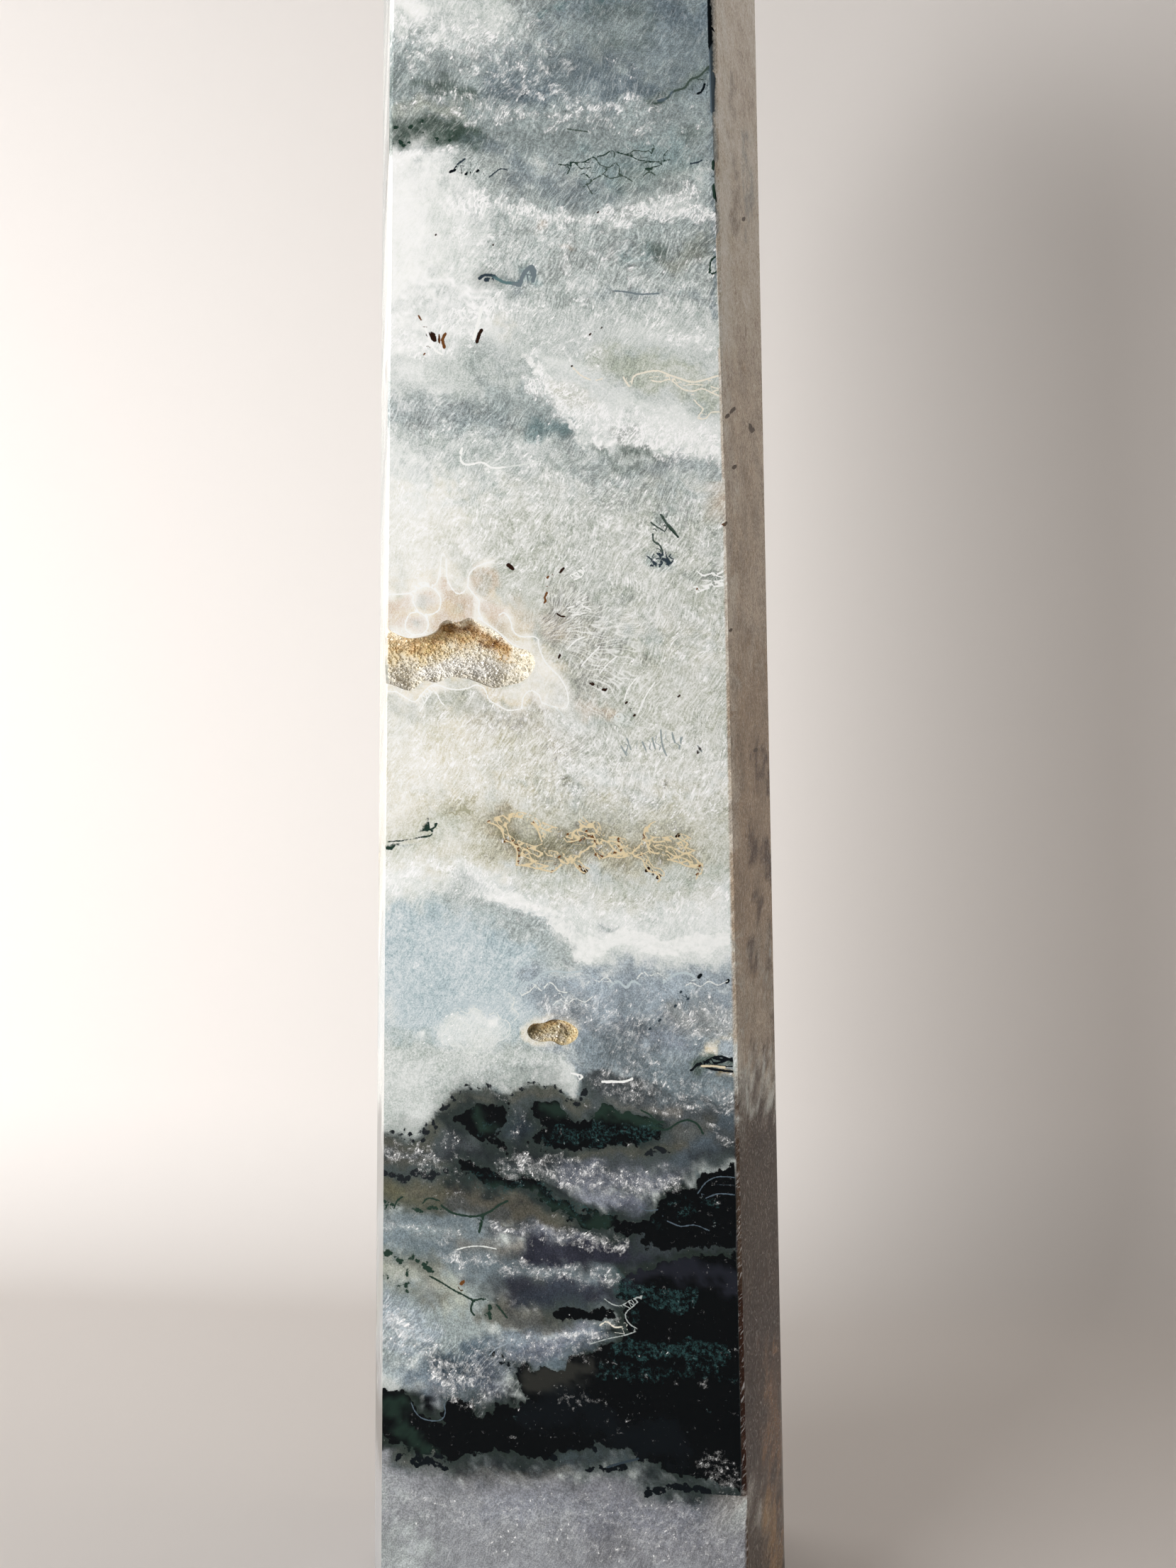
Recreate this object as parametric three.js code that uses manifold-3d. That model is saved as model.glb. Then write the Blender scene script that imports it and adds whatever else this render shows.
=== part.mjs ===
import * as THREE from 'three';
import { ConvexGeometry } from 'three/addons/geometries/ConvexGeometry.js';
import { mergeVertices } from 'three/addons/utils/BufferGeometryUtils.js';
import Module from 'manifold-3d';

// Moss agate tower: one stone ground into a six-sided upright with a point, and polished
// Millimetres, +Z up, the middle of the foot at the origin, the broad front face towards -Y

const HEIGHT = 360;

// Each ground side: the turn of its outward normal, its distance from the upright axis at the foot, its lean
// inwards, and the height at which the point's facet takes over from it
const FRONT = { turn: -90, reach: 23.7, lean: 0.6, shoulder: 317 };
const RIGHT_FRONT = { turn: -18, reach: 38.2, lean: 1.35, shoulder: 314 };
const RIGHT_BACK = { turn: 17, reach: 38.4, lean: 0.62, shoulder: 319 };
const BACK = { turn: 90, reach: 23.7, lean: 0.5, shoulder: 315 };
const LEFT_BACK = { turn: 162, reach: 38.6, lean: 0.05, shoulder: 313 };
const LEFT_FRONT = { turn: 198.2, reach: 38.5, lean: 0.35, shoulder: 316 };
const SIDES = [FRONT, RIGHT_FRONT, RIGHT_BACK, BACK, LEFT_BACK, LEFT_FRONT];

// The facets meet a little off the middle, as a hand-ground point does
const POINT_X = -3.5;
const POINT_Y = 0.8;

// How deep each upright edge is eased at the foot and at the shoulder. A depth below zero at the foot means that
// the ease starts part of the way up and widens towards the point
const PLAIN_EASE = { foot: 0.3, shoulder: 0.3 };
const FRONT_RIGHT_EASE = { foot: -1.5, shoulder: 0.82 };
const FRONT_LEFT_EASE = { foot: -0.28, shoulder: 0.46 };
const EASES = [FRONT_RIGHT_EASE, PLAIN_EASE, PLAIN_EASE, PLAIN_EASE, PLAIN_EASE, FRONT_LEFT_EASE];

const FOOT_BEVEL = 1.0;
const FOOT_BEVEL_LEAN = -45;

// The main hollow: its mouth on the front face as x and z, its floor line, its depth at the two ends of that line,
// the steps round its mouth, and how thick its crust is. It breaks out through the front left edge
const MAIN_HOLLOW = {
  mouth: [
    [-36.0, 184.0], [-30.5, 182.4], [-26.0, 181.2], [-23.2, 182.6], [-21.3, 184.3], [-17.3, 184.8],
    [-13.5, 182.9], [-9.8, 180.2], [-6.4, 178.6], [-4.4, 176.2], [-6.6, 172.8], [-11.5, 171.6],
    [-17.0, 172.6], [-23.0, 172.6], [-28.0, 171.5], [-36.0, 171.8],
  ],
  floor: [[-31.0, 177.0], [-14.5, 180.2]],
  depths: [2.2, 5.2],
  steps: 56,
  crustShift: 1.1,
};

// The small hollow, lower down
const SMALL_HOLLOW = {
  mouth: [
    [-7.0, 111.0], [-5.0, 112.4], [-2.2, 113.4], [1.2, 112.8],
    [2.9, 110.6], [1.2, 108.8], [-1.6, 109.2], [-5.0, 109.0],
  ],
  floor: [[-4.2, 110.9], [0.4, 111.2]],
  depths: [1.5, 2.3],
  steps: 28,
  crustShift: 0.7,
};

const WALL_STEEPNESS = 2.2;
const BOWL_RINGS = [0, 0.08, 0.2, 0.36, 0.56, 0.8];
const CUT_OUTSIDE = 2;

// The crusts of crystals: the gap that parts them from the stone, how far they stay behind its faces, and their
// crystals
const CRUST_GAP = 0.35;
const SET_BACK = 0.25;
const CRYSTAL_SIDES = 6;
const CRYSTAL_TILT = 0.3;
const MAIN_CRYSTALS = { count: 120, smallest: 0.45, largest: 0.85, seed: 7 };
const SMALL_CRYSTALS = { count: 26, smallest: 0.3, largest: 0.5, seed: 19 };
const CRYSTAL_SLENDERNESS = 1.9;
const CRYSTAL_SINK = 0.35;
const CRYSTAL_RING_FROM = 0.16;
const CRYSTAL_RING_SPAN = 0.8;

const AGATE_COLOUR = 0xb4b8b5;
const CREAM_QUARTZ_COLOUR = 0xe4d8bd;
const GOLDEN_QUARTZ_COLOUR = 0xb98f45;
const POLISHED = 0.12;
const SUGARY = 0.55;

const SAME_POINT = 1e-4;
const wasm = await Module();
wasm.setup();

// A closed geometry as a solid for joining and cutting
function toSolid(geometry) {
  const bare = geometry.clone();
  bare.deleteAttribute('normal');
  bare.deleteAttribute('uv');
  const merged = mergeVertices(bare, SAME_POINT);
  const vertProperties = new Float32Array(merged.attributes.position.array);
  const triVerts = new Uint32Array(merged.index.array);
  return new wasm.Manifold(new wasm.Mesh({ numProp: 3, vertProperties, triVerts }));
}

function toGeometry(solid) {
  const mesh = solid.getMesh();
  const geometry = new THREE.BufferGeometry();
  geometry.setAttribute('position', new THREE.BufferAttribute(new Float32Array(mesh.vertProperties), 3));
  geometry.setIndex(new THREE.BufferAttribute(new Uint32Array(mesh.triVerts), 1));
  geometry.computeVertexNormals();
  return geometry;
}

// The outward normal of a face that is turned about the upright axis and leans inwards
function outward(turn, lean) {
  const around = THREE.MathUtils.degToRad(turn);
  const up = THREE.MathUtils.degToRad(lean);
  return new THREE.Vector3(Math.cos(around) * Math.cos(up), Math.sin(around) * Math.cos(up), Math.sin(up));
}

function planeThrough(normal, point) {
  return new THREE.Plane().setFromNormalAndCoplanarPoint(normal, point);
}

// How far a leaning side is from the upright axis at a height
function reachAt(side, height) {
  return side.reach - height * Math.tan(THREE.MathUtils.degToRad(side.lean));
}

function pointOnSide(side, height) {
  return outward(side.turn, 0).multiplyScalar(reachAt(side, height)).setZ(height);
}

function sidePlane(side) {
  return planeThrough(outward(side.turn, side.lean), pointOnSide(side, 0));
}

// The facet above a side: it passes through the point and meets the side at its shoulder
function pointFacet(side, point) {
  const towards = outward(side.turn, 0);
  const across = pointOnSide(side, side.shoulder).dot(towards) - point.dot(towards);
  const lean = THREE.MathUtils.radToDeg(Math.atan2(across, point.z - side.shoulder));
  return planeThrough(outward(side.turn, lean), point);
}

function footBevel(side) {
  return planeThrough(outward(side.turn, FOOT_BEVEL_LEAN), pointOnSide(side, FOOT_BEVEL));
}

// Where three planes cross, or null if two of them are parallel
function crossing(a, b, c) {
  const bc = new THREE.Vector3().crossVectors(b.normal, c.normal);
  const volume = a.normal.dot(bc);
  if (Math.abs(volume) < SAME_POINT) return null;
  const ca = new THREE.Vector3().crossVectors(c.normal, a.normal);
  const ab = new THREE.Vector3().crossVectors(a.normal, b.normal);
  const sum = bc.multiplyScalar(a.constant).addScaledVector(ca, b.constant).addScaledVector(ab, c.constant);
  return sum.multiplyScalar(-1 / volume);
}

// The narrow plane that eases the upright edge between two sides
function easePlane(left, right, ease, topHeight) {
  const away = outward(left.turn, 0).add(outward(right.turn, 0)).normalize();
  const level = (height) => new THREE.Plane(new THREE.Vector3(0, 0, 1), -height);
  const cutPoint = (height, depth) =>
    crossing(sidePlane(left), sidePlane(right), level(height)).addScaledVector(away, -depth);
  const foot = cutPoint(0, ease.foot);
  const top = cutPoint(topHeight, ease.shoulder);
  const along = new THREE.Vector3().subVectors(top, foot);
  const sideways = new THREE.Vector3(-away.y, away.x, 0);
  const normal = new THREE.Vector3().crossVectors(sideways, along).normalize();
  if (normal.dot(away) < 0) normal.negate();
  return planeThrough(normal, foot);
}

// All the planes that the stone was ground to, each moved inwards by a distance
function stonePlanes(inset) {
  const point = new THREE.Vector3(POINT_X, POINT_Y, HEIGHT);
  const planes = [new THREE.Plane(new THREE.Vector3(0, 0, -1), 0)];
  SIDES.forEach((side, i) => {
    const next = SIDES[(i + 1) % SIDES.length];
    planes.push(sidePlane(side), pointFacet(side, point), footBevel(side));
    planes.push(easePlane(side, next, EASES[i], side.shoulder));
  });
  planes.forEach((plane) => {
    plane.constant += inset;
  });
  return planes;
}

// The body that lies inside every plane
function bodyInside(planes) {
  const corners = new Map();
  const inside = (spot) => planes.every((plane) => plane.distanceToPoint(spot) < SAME_POINT);
  for (let i = 0; i < planes.length; i += 1) {
    for (let j = i + 1; j < planes.length; j += 1) {
      for (let k = j + 1; k < planes.length; k += 1) {
        const spot = crossing(planes[i], planes[j], planes[k]);
        if (spot && inside(spot)) {
          corners.set(spot.toArray().map((value) => value.toFixed(3)).join(' '), spot);
        }
      }
    }
  }
  return new ConvexGeometry([...corners.values()]);
}

// The nearest place on a hollow's floor line, and how far along that line it is
function onFloorLine(hollow, spot) {
  const [from, to] = hollow.floor.map(([x, z]) => new THREE.Vector2(x, z));
  const along = new THREE.Vector2().subVectors(to, from);
  const share = new THREE.Vector2().subVectors(spot, from).dot(along) / along.lengthSq();
  const part = THREE.MathUtils.clamp(share, 0, 1);
  return { place: from.clone().addScaledVector(along, part), part };
}

// A place in a hollow, as x and z on the front face and the depth inwards: 0 is its mouth and 1 its floor line
function inHollow(hollow, mouthSpot, fraction, clearance) {
  const { place, part } = onFloorLine(hollow, mouthSpot);
  const span = mouthSpot.distanceTo(place);
  const start = Math.min(clearance / span, 1);
  const spot = mouthSpot.clone().lerp(place, start + (1 - start) * fraction);
  const floorDepth = THREE.MathUtils.lerp(hollow.depths[0], hollow.depths[1], part);
  const fall = 1 - (1 - fraction) ** WALL_STEEPNESS;
  return new THREE.Vector3(spot.x, spot.y, floorDepth * fall - clearance);
}

// The smooth closed line round a hollow's mouth
function mouthCurve(hollow) {
  return new THREE.SplineCurve([...hollow.mouth, hollow.mouth[0]].map(([x, z]) => new THREE.Vector2(x, z)));
}

// From x, z and depth on the front face to the tower's own axes
function fromFrontFace({ x, y: z, z: depth }) {
  return new THREE.Vector3(x, -reachAt(FRONT, z) + depth, z);
}

// The closed solid of a hollow's space. Rings step down from outside the face to the floor, and both ends are
// capped
function hollowSpace(hollow, clearance, shift) {
  const { steps } = hollow;
  const mouth = mouthCurve(hollow).getPoints(steps).slice(0, steps);
  const outer = mouth.map((spot) => {
    const rim = inHollow(hollow, spot, 0, clearance);
    return rim.setZ(-CUT_OUTSIDE - shift);
  });
  const rings = [outer];
  BOWL_RINGS.forEach((fraction) => {
    rings.push(mouth.map((spot) => {
      const place = inHollow(hollow, spot, fraction, clearance);
      return place.setZ(place.z - shift);
    }));
  });
  const corners = rings.flat().map(fromFrontFace);
  const triangles = [];
  for (let ring = 0; ring + 1 < rings.length; ring += 1) {
    for (let i = 0; i < steps; i += 1) {
      const a = ring * steps + i;
      const b = ring * steps + ((i + 1) % steps);
      triangles.push(a, b, a + steps, b, b + steps, a + steps);
    }
  }
  const flat = (ring) => ring.map((spot) => new THREE.Vector2(spot.x, spot.y));
  const last = (rings.length - 1) * steps;
  THREE.ShapeUtils.triangulateShape(flat(rings[0]), []).forEach(([a, b, c]) => triangles.push(a, b, c));
  THREE.ShapeUtils.triangulateShape(flat(rings[rings.length - 1]), []).forEach(([a, b, c]) => {
    triangles.push(last + a, last + c, last + b);
  });
  const geometry = new THREE.BufferGeometry().setFromPoints(corners);
  geometry.setIndex(triangles);
  return geometry;
}

// A run of chance numbers from 0 to 1 that is the same each time
function chanceFrom(seed) {
  let draw = seed;
  return () => {
    draw += 1;
    return THREE.MathUtils.seededRandom(draw);
  };
}

// Small pointed crystals that stand on a crust's inner side, each turned and tilted by chance
function crustCrystals(hollow, crystals) {
  const chance = chanceFrom(crystals.seed);
  const tilt = () => THREE.MathUtils.lerp(-CRYSTAL_TILT, CRYSTAL_TILT, chance());
  const curve = mouthCurve(hollow);
  const shapes = [];
  for (let i = 0; i < crystals.count; i += 1) {
    const fraction = CRYSTAL_RING_FROM + CRYSTAL_RING_SPAN * chance();
    const place = inHollow(hollow, curve.getPoint(chance()), fraction, CRUST_GAP);
    const radius = THREE.MathUtils.lerp(crystals.smallest, crystals.largest, chance());
    const length = radius * CRYSTAL_SLENDERNESS;
    const foot = fromFrontFace(place.setZ(place.z - hollow.crustShift + CRYSTAL_SINK));
    const shape = new THREE.ConeGeometry(radius, length, CRYSTAL_SIDES);
    shape.translate(0, length / 2, 0);
    shape.rotateY(Math.PI * chance());
    shape.rotateX(Math.PI + tilt());
    shape.rotateZ(tilt());
    shape.translate(foot.x, foot.y, foot.z);
    shapes.push(shape);
  }
  return shapes;
}

// A crust lines its hollow from a small gap off the stone, and stays behind the polished faces
function crust(hollow, crystals) {
  const room = toSolid(hollowSpace(hollow, CRUST_GAP, 0));
  const empty = toSolid(hollowSpace(hollow, CRUST_GAP, hollow.crustShift));
  let grown = room.subtract(empty);
  crustCrystals(hollow, crystals).forEach((shape) => {
    grown = grown.add(toSolid(shape));
  });
  const behindFaces = toSolid(bodyInside(stonePlanes(SET_BACK)));
  return toGeometry(grown.intersect(room).intersect(behindFaces));
}

function tower() {
  const mainSpace = toSolid(hollowSpace(MAIN_HOLLOW, 0, 0));
  const smallSpace = toSolid(hollowSpace(SMALL_HOLLOW, 0, 0));
  const stone = toSolid(bodyInside(stonePlanes(0)));
  return toGeometry(stone.subtract(mainSpace).subtract(smallSpace));
}

function named(name, geometry, color, roughness) {
  const material = new THREE.MeshStandardMaterial({ color, roughness, metalness: 0, flatShading: true });
  const mesh = new THREE.Mesh(geometry, material);
  mesh.name = name;
  return mesh;
}

const object = new THREE.Group();
object.add(
  named('tower', tower(), AGATE_COLOUR, POLISHED),
  named('main_hollow_crust', crust(MAIN_HOLLOW, MAIN_CRYSTALS), CREAM_QUARTZ_COLOUR, SUGARY),
  named('small_hollow_crust', crust(SMALL_HOLLOW, SMALL_CRYSTALS), GOLDEN_QUARTZ_COLOUR, SUGARY),
);

// The middle of the whole outline goes over the origin
const middle = new THREE.Box3().setFromObject(object, true).getCenter(new THREE.Vector3());
object.children.forEach((mesh) => mesh.geometry.translate(-middle.x, -middle.y, 0));

export default object;
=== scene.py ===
import math

import bpy
import numpy as np
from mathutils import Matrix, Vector, noise


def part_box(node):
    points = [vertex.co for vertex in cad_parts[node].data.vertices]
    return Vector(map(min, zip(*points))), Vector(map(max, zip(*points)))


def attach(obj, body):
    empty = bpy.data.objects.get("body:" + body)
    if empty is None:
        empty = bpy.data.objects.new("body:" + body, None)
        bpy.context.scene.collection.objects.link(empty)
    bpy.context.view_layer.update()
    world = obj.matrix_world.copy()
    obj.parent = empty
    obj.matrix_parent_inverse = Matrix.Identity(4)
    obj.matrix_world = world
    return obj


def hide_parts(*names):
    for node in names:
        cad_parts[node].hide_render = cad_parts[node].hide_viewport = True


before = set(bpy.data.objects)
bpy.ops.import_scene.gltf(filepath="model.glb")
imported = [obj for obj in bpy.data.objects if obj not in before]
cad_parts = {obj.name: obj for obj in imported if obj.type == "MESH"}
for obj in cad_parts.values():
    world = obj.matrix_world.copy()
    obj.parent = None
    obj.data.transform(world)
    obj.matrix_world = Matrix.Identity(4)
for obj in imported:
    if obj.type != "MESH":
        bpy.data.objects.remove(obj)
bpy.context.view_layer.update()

# The photograph's view. The camera is level and turned a little to the left.
MM = 0.001
PHOTO_WIDTH = 1659
PHOTO_HEIGHT = 2212
FOCAL_PX = 1680
SENSOR_MM = 36
CAMERA_TURN = math.radians(5.5)
EYE = Vector((24.37, -230.72, 155)) * MM
VIEW = Vector((-math.sin(CAMERA_TURN), math.cos(CAMERA_TURN), 0))
RIGHT = Vector((math.cos(CAMERA_TURN), math.sin(CAMERA_TURN), 0))

# The front face leans back by its rise from the foot.
FRONT_FOOT_Y = -23.7 * MM
FRONT_LEAN = math.tan(math.radians(0.6))
SHOULDER = 315 * MM

# The stone's mesh: cells, and the cuts inside a cell on each kind of face.
CELL = 8 * MM
FRONT_CUTS = 13
RIGHT_FRONT_CUTS = 4
OTHER_CUTS = 2
MERGE = 0.01 * MM
FLAT_ANGLE = math.radians(0.4)
CREASE = math.radians(6)
CUT_MARGIN = 0.1

# The least of a face's normal towards the front, and towards the right and the front on the right-front face
FACING_FRONT = 0.97
FACING_RIGHT = 0.8
TURNED_FRONT = 0.1

# sRGB colours of the stone, as a painter would name them; some also serve for its painted light, shade and
# reflections
PALETTE = {
    "white": "FFFFFF",
    "snow": "F8F9F7",
    "frost": "E3E7E4",
    "mist": "CBD1CE",
    "haze": "B4BCBA",
    "smoke": "95A0A0",
    "slate": "738086",
    "steel": "566570",
    "ink": "333F48",
    "night": "0B1217",
    "pitch": "04080B",
    "soot": "1B2024",
    "murk": "474D50",
    "peat": "55534A",
    "fern": "45534C",
    "pond": "5F7B7E",
    "moss": "24382F",
    "teal": "2C4A4B",
    "lichen": "A8A68E",
    "dew": "C4C9BE",
    "ash": "94979B",
    "flint": "7C7D82",
    "khaki": "A09880",
    "sand": "E3D2AC",
    "olive": "6F6E55",
    "ivory": "EFE9DA",
    "cream": "E2D5B8",
    "honey": "C79E5B",
    "caramel": "A67C45",
    "rust": "6E4522",
    "bark": "2C1A12",
    "blush": "DDCFC3",
    "taupe": "978D7F",
    "bone": "E6E1DC",
    "shell": "D9CFC4",
    "pale_lilac": "C8C4C4",
    "linen": "D6CEC4",
    "chalk": "C9C3BA",
    "putty": "C8C1B8",
    "fog": "C5C0B8",
    "oat": "C9BDB1",
    "flax": "C9B9A8",
    "husk": "B5B0A6",
    "pearl": "CFC7BA",
    "stone": "BDB0A0",
    "drab": "A5937F",
    "umber": "57493D",
    "cocoa": "46392F",
    "russet": "8A6A4C",
    "sky": "BFCCD0",
    "dusk": "9AA6AF",
    "violet": "6F7482",
    "plum": "2B2D38",
}

# Blender starts its vector noise from the clock unless it is given a seed
NOISE_SEED = 1796107455
noise.seed_set(NOISE_SEED)

# The sRGB curve
SRGB_KNEE = 0.04045
SRGB_SLOPE = 12.92
SRGB_OFFSET = 0.055
SRGB_POWER = 2.4


def shares_of(name):
    """A palette colour or a hex code as three sRGB shares."""
    code = PALETTE.get(name, name)
    return np.array([int(code[i:i + 2], 16) / 255 for i in (0, 2, 4)])


def to_linear(shares):
    """sRGB shares to linear light."""
    curved = ((shares + SRGB_OFFSET) / (1 + SRGB_OFFSET)) ** SRGB_POWER
    return np.where(shares <= SRGB_KNEE, shares / SRGB_SLOPE, curved)


def linear(name):
    return tuple(to_linear(shares_of(name)))


def work_on(piece):
    """Makes the piece the only selected and active one."""
    bpy.ops.object.select_all(action="DESELECT")
    piece.select_set(True)
    bpy.context.view_layer.objects.active = piece


def copy_of(node, name):
    """A merged copy of a CAD node, as a new piece."""
    piece = bpy.data.objects.new(name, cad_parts[node].data.copy())
    bpy.context.collection.objects.link(piece)
    work_on(piece)
    bpy.ops.object.mode_set(mode="EDIT")
    bpy.ops.mesh.select_all(action="SELECT")
    bpy.ops.mesh.remove_doubles(threshold=MERGE)
    bpy.ops.object.mode_set(mode="OBJECT")
    return piece


def face_normals(piece):
    normals = np.zeros(len(piece.data.polygons) * 3, np.float32)
    piece.data.polygons.foreach_get("normal", normals)
    return normals.reshape(-1, 3)


def select_faces(piece, wanted):
    """Selects just the faces that the mask names."""
    bpy.context.tool_settings.mesh_select_mode = (False, False, True)
    mesh = piece.data
    mesh.vertices.foreach_set("select", np.zeros(len(mesh.vertices), bool))
    mesh.edges.foreach_set("select", np.zeros(len(mesh.edges), bool))
    mesh.polygons.foreach_set("select", wanted)


def subdivide(piece, wanted, cuts):
    select_faces(piece, wanted)
    bpy.ops.object.mode_set(mode="EDIT")
    bpy.ops.mesh.subdivide(number_cuts=cuts)
    bpy.ops.object.mode_set(mode="OBJECT")


def front_and_right(piece):
    """Masks of the faces that look to the front, and of those that look to the right front."""
    normals = face_normals(piece)
    front = normals[:, 1] < -FACING_FRONT
    right_front = (normals[:, 0] > FACING_RIGHT) & (normals[:, 1] < -TURNED_FRONT) & ~front
    return front, right_front


def polished_block():
    """The tower's flat faces as one fine mesh, closest on the front."""
    piece = copy_of("tower", "polished_tower")
    bpy.ops.object.mode_set(mode="EDIT")
    bpy.ops.mesh.select_all(action="SELECT")
    bpy.ops.mesh.convex_hull()
    bpy.ops.mesh.select_all(action="SELECT")
    bpy.ops.mesh.dissolve_limited(angle_limit=FLAT_ANGLE)
    low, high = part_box("tower")
    for axis in range(3):
        normal = [float(axis == i) for i in range(3)]
        for step in np.arange(math.ceil(low[axis] / CELL + CUT_MARGIN), high[axis] / CELL - CUT_MARGIN):
            bpy.ops.mesh.select_all(action="SELECT")
            bpy.ops.mesh.bisect(plane_co=[n * step * CELL for n in normal], plane_no=normal)
    bpy.ops.object.mode_set(mode="OBJECT")
    subdivide(piece, front_and_right(piece)[0], FRONT_CUTS)
    subdivide(piece, front_and_right(piece)[1], RIGHT_FRONT_CUTS)
    front, right_front = front_and_right(piece)
    subdivide(piece, ~(front | right_front), OTHER_CUTS)
    return piece


def vertices_of(piece):
    places = np.zeros(len(piece.data.vertices) * 3)
    piece.data.vertices.foreach_get("co", places)
    return places.reshape(-1, 3)


def on_front(photo_path):
    """The points of the front face that lie at these photo pixels, in metres."""
    points = []
    for across, down in photo_path:
        ray = (VIEW + RIGHT * (across - PHOTO_WIDTH / 2) / FOCAL_PX
               + Vector((0, 0, PHOTO_HEIGHT / 2 - down)) / FOCAL_PX)
        reach = (FRONT_FOOT_Y + EYE.z * FRONT_LEAN - EYE.y) / (ray.y - ray.z * FRONT_LEAN)
        points.append(EYE + ray * reach)
    return points


def to_photo(places):
    """The photo pixels of places, N by 3 in metres."""
    away = places - np.array(EYE)
    depth = away @ np.array(VIEW)
    across = PHOTO_WIDTH / 2 + FOCAL_PX * (away @ np.array(RIGHT)) / depth
    down = PHOTO_HEIGHT / 2 - FOCAL_PX * away[:, 2] / depth
    return np.stack([across, down], 1)


def rounded(path, closed=False, steps=4):
    """A smooth curve through the points of a given path."""
    points = np.array(path, float)
    if len(points) < 3:
        return points
    if closed:
        ring = np.concatenate([points[-1:], points, points[:2]])
    else:
        ring = np.concatenate([2 * points[:1] - points[1:2], points, 2 * points[-1:] - points[-2:-1]])
    curve = []
    for a, b, c, d in zip(ring[:-3], ring[1:-2], ring[2:-1], ring[3:]):
        for t in np.arange(steps) / steps:
            curve.append(((2 * b) + (c - a) * t + (2 * a - 5 * b + 4 * c - d) * t ** 2
                          + (3 * b - a - 3 * c + d) * t ** 3) / 2)
    if not closed:
        curve.append(points[-1])
    return np.array(curve)


def resampled(curve, shares, closed=False):
    """Points at these shares of a curve's length."""
    if closed:
        curve = np.concatenate([curve, curve[:1]])
    lengths = np.concatenate([[0], np.cumsum(np.linalg.norm(np.diff(curve, axis=0), axis=1))])
    return np.stack([np.interp(shares * lengths[-1], lengths, curve[:, i]) for i in range(curve.shape[1])], 1)


def nearest_on(path, places):
    """How far each place is from a path, and the step from the place to the path."""
    path = np.array(path, float)
    if len(path) == 1:
        path = np.repeat(path, 2, 0)
    reach = np.full(len(places), np.inf)
    offset = np.zeros((len(places), 2))
    for start, end in zip(path[:-1], path[1:]):
        along = end - start
        share = np.clip((places - start) @ along / max(along @ along, 1e-9), 0, 1)
        step = start + share[:, None] * along - places
        far = np.hypot(step[:, 0], step[:, 1])
        closer = far < reach
        reach[closer] = far[closer]
        offset[closer] = step[closer]
    return reach, offset


def depth_inside(outline, places):
    """The signed distance of places to a closed outline, positive inside."""
    outline = np.array(outline, float)
    ring = np.concatenate([outline, outline[:1]])
    reach, _ = nearest_on(ring, places)
    inside = np.zeros(len(places), bool)
    for (x0, y0), (x1, y1) in zip(ring[:-1], ring[1:]):
        if y0 == y1:
            continue
        spans = (y0 > places[:, 1]) != (y1 > places[:, 1])
        crossing = x0 + (places[:, 1] - y0) * (x1 - x0) / (y1 - y0)
        inside ^= spans & (places[:, 0] < crossing)
    return np.where(inside, reach, -reach)


def soft(value, low, high):
    """A smooth rise from 0 at low to 1 at high."""
    share = np.clip((value - low) / (high - low), 0, 1)
    return share * share * (3 - 2 * share)


# The two open hollows: mouth and floor line in photo pixels, depth in metres.
MAIN_MOUTH = [(500, 862), (541, 882), (556, 893), (577, 900), (600, 897), (616, 890), (621, 880), (631, 874),
              (645, 878), (662, 871), (678, 881), (697, 890), (711, 901), (724, 912), (743, 917), (753, 926),
              (757, 940), (748, 956), (734, 966), (716, 970), (694, 974), (672, 966), (654, 960), (636, 958),
              (616, 966), (600, 962), (588, 972), (576, 978), (556, 970), (541, 967), (500, 970)]
MAIN_FLOOR = [(520, 925), (560, 928), (600, 926), (650, 906), (700, 914), (722, 928)]
MAIN_DEPTH = 4.2 * MM
SMALL_MOUTH = [(744, 1452), (752, 1444), (766, 1443), (780, 1438), (796, 1440), (808, 1446), (816, 1455),
               (814, 1466), (803, 1474), (790, 1476), (778, 1470), (764, 1471), (750, 1467), (744, 1460)]
SMALL_FLOOR = [(760, 1455), (780, 1452), (800, 1458)]
SMALL_DEPTH = 2.0 * MM
AROUND = 110
DOWN = 10
NARROWING = 0.8
STEEP_TURN = (-0.4, 0.6)
STEEP_PLAN = 1.2
STEEP_DROP = 2.5
LUMPS_PER_METRE = 420
LUMP_NOISE = (0.6, 2.1, 4)
LUMP_SHARE = 0.12
CUTTER_LIP = 3 * MM
CRUST_LIFT = 0.3 * MM
CRUST_START = 0.06
CRUST_WALL = 0.3 * MM
CRUST_CLEARANCE = 0.6 * MM
LEFT_FRONT_TURN = math.radians(198.2)
LEFT_FRONT_NORMAL = Vector((math.cos(LEFT_FRONT_TURN), math.sin(LEFT_FRONT_TURN), 0))
LEFT_FRONT_REACH = 37.3 * MM

# One quartz point of a druse, in shares of its length
POINT_RADIUS = 0.4
POINT_SHOULDER = 0.5
POINT_LEAN = 0.5
POINT_JITTER = 0.4
POINT_SPREAD = 0.35
POINT_LEAST = 0.2 * MM


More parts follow.
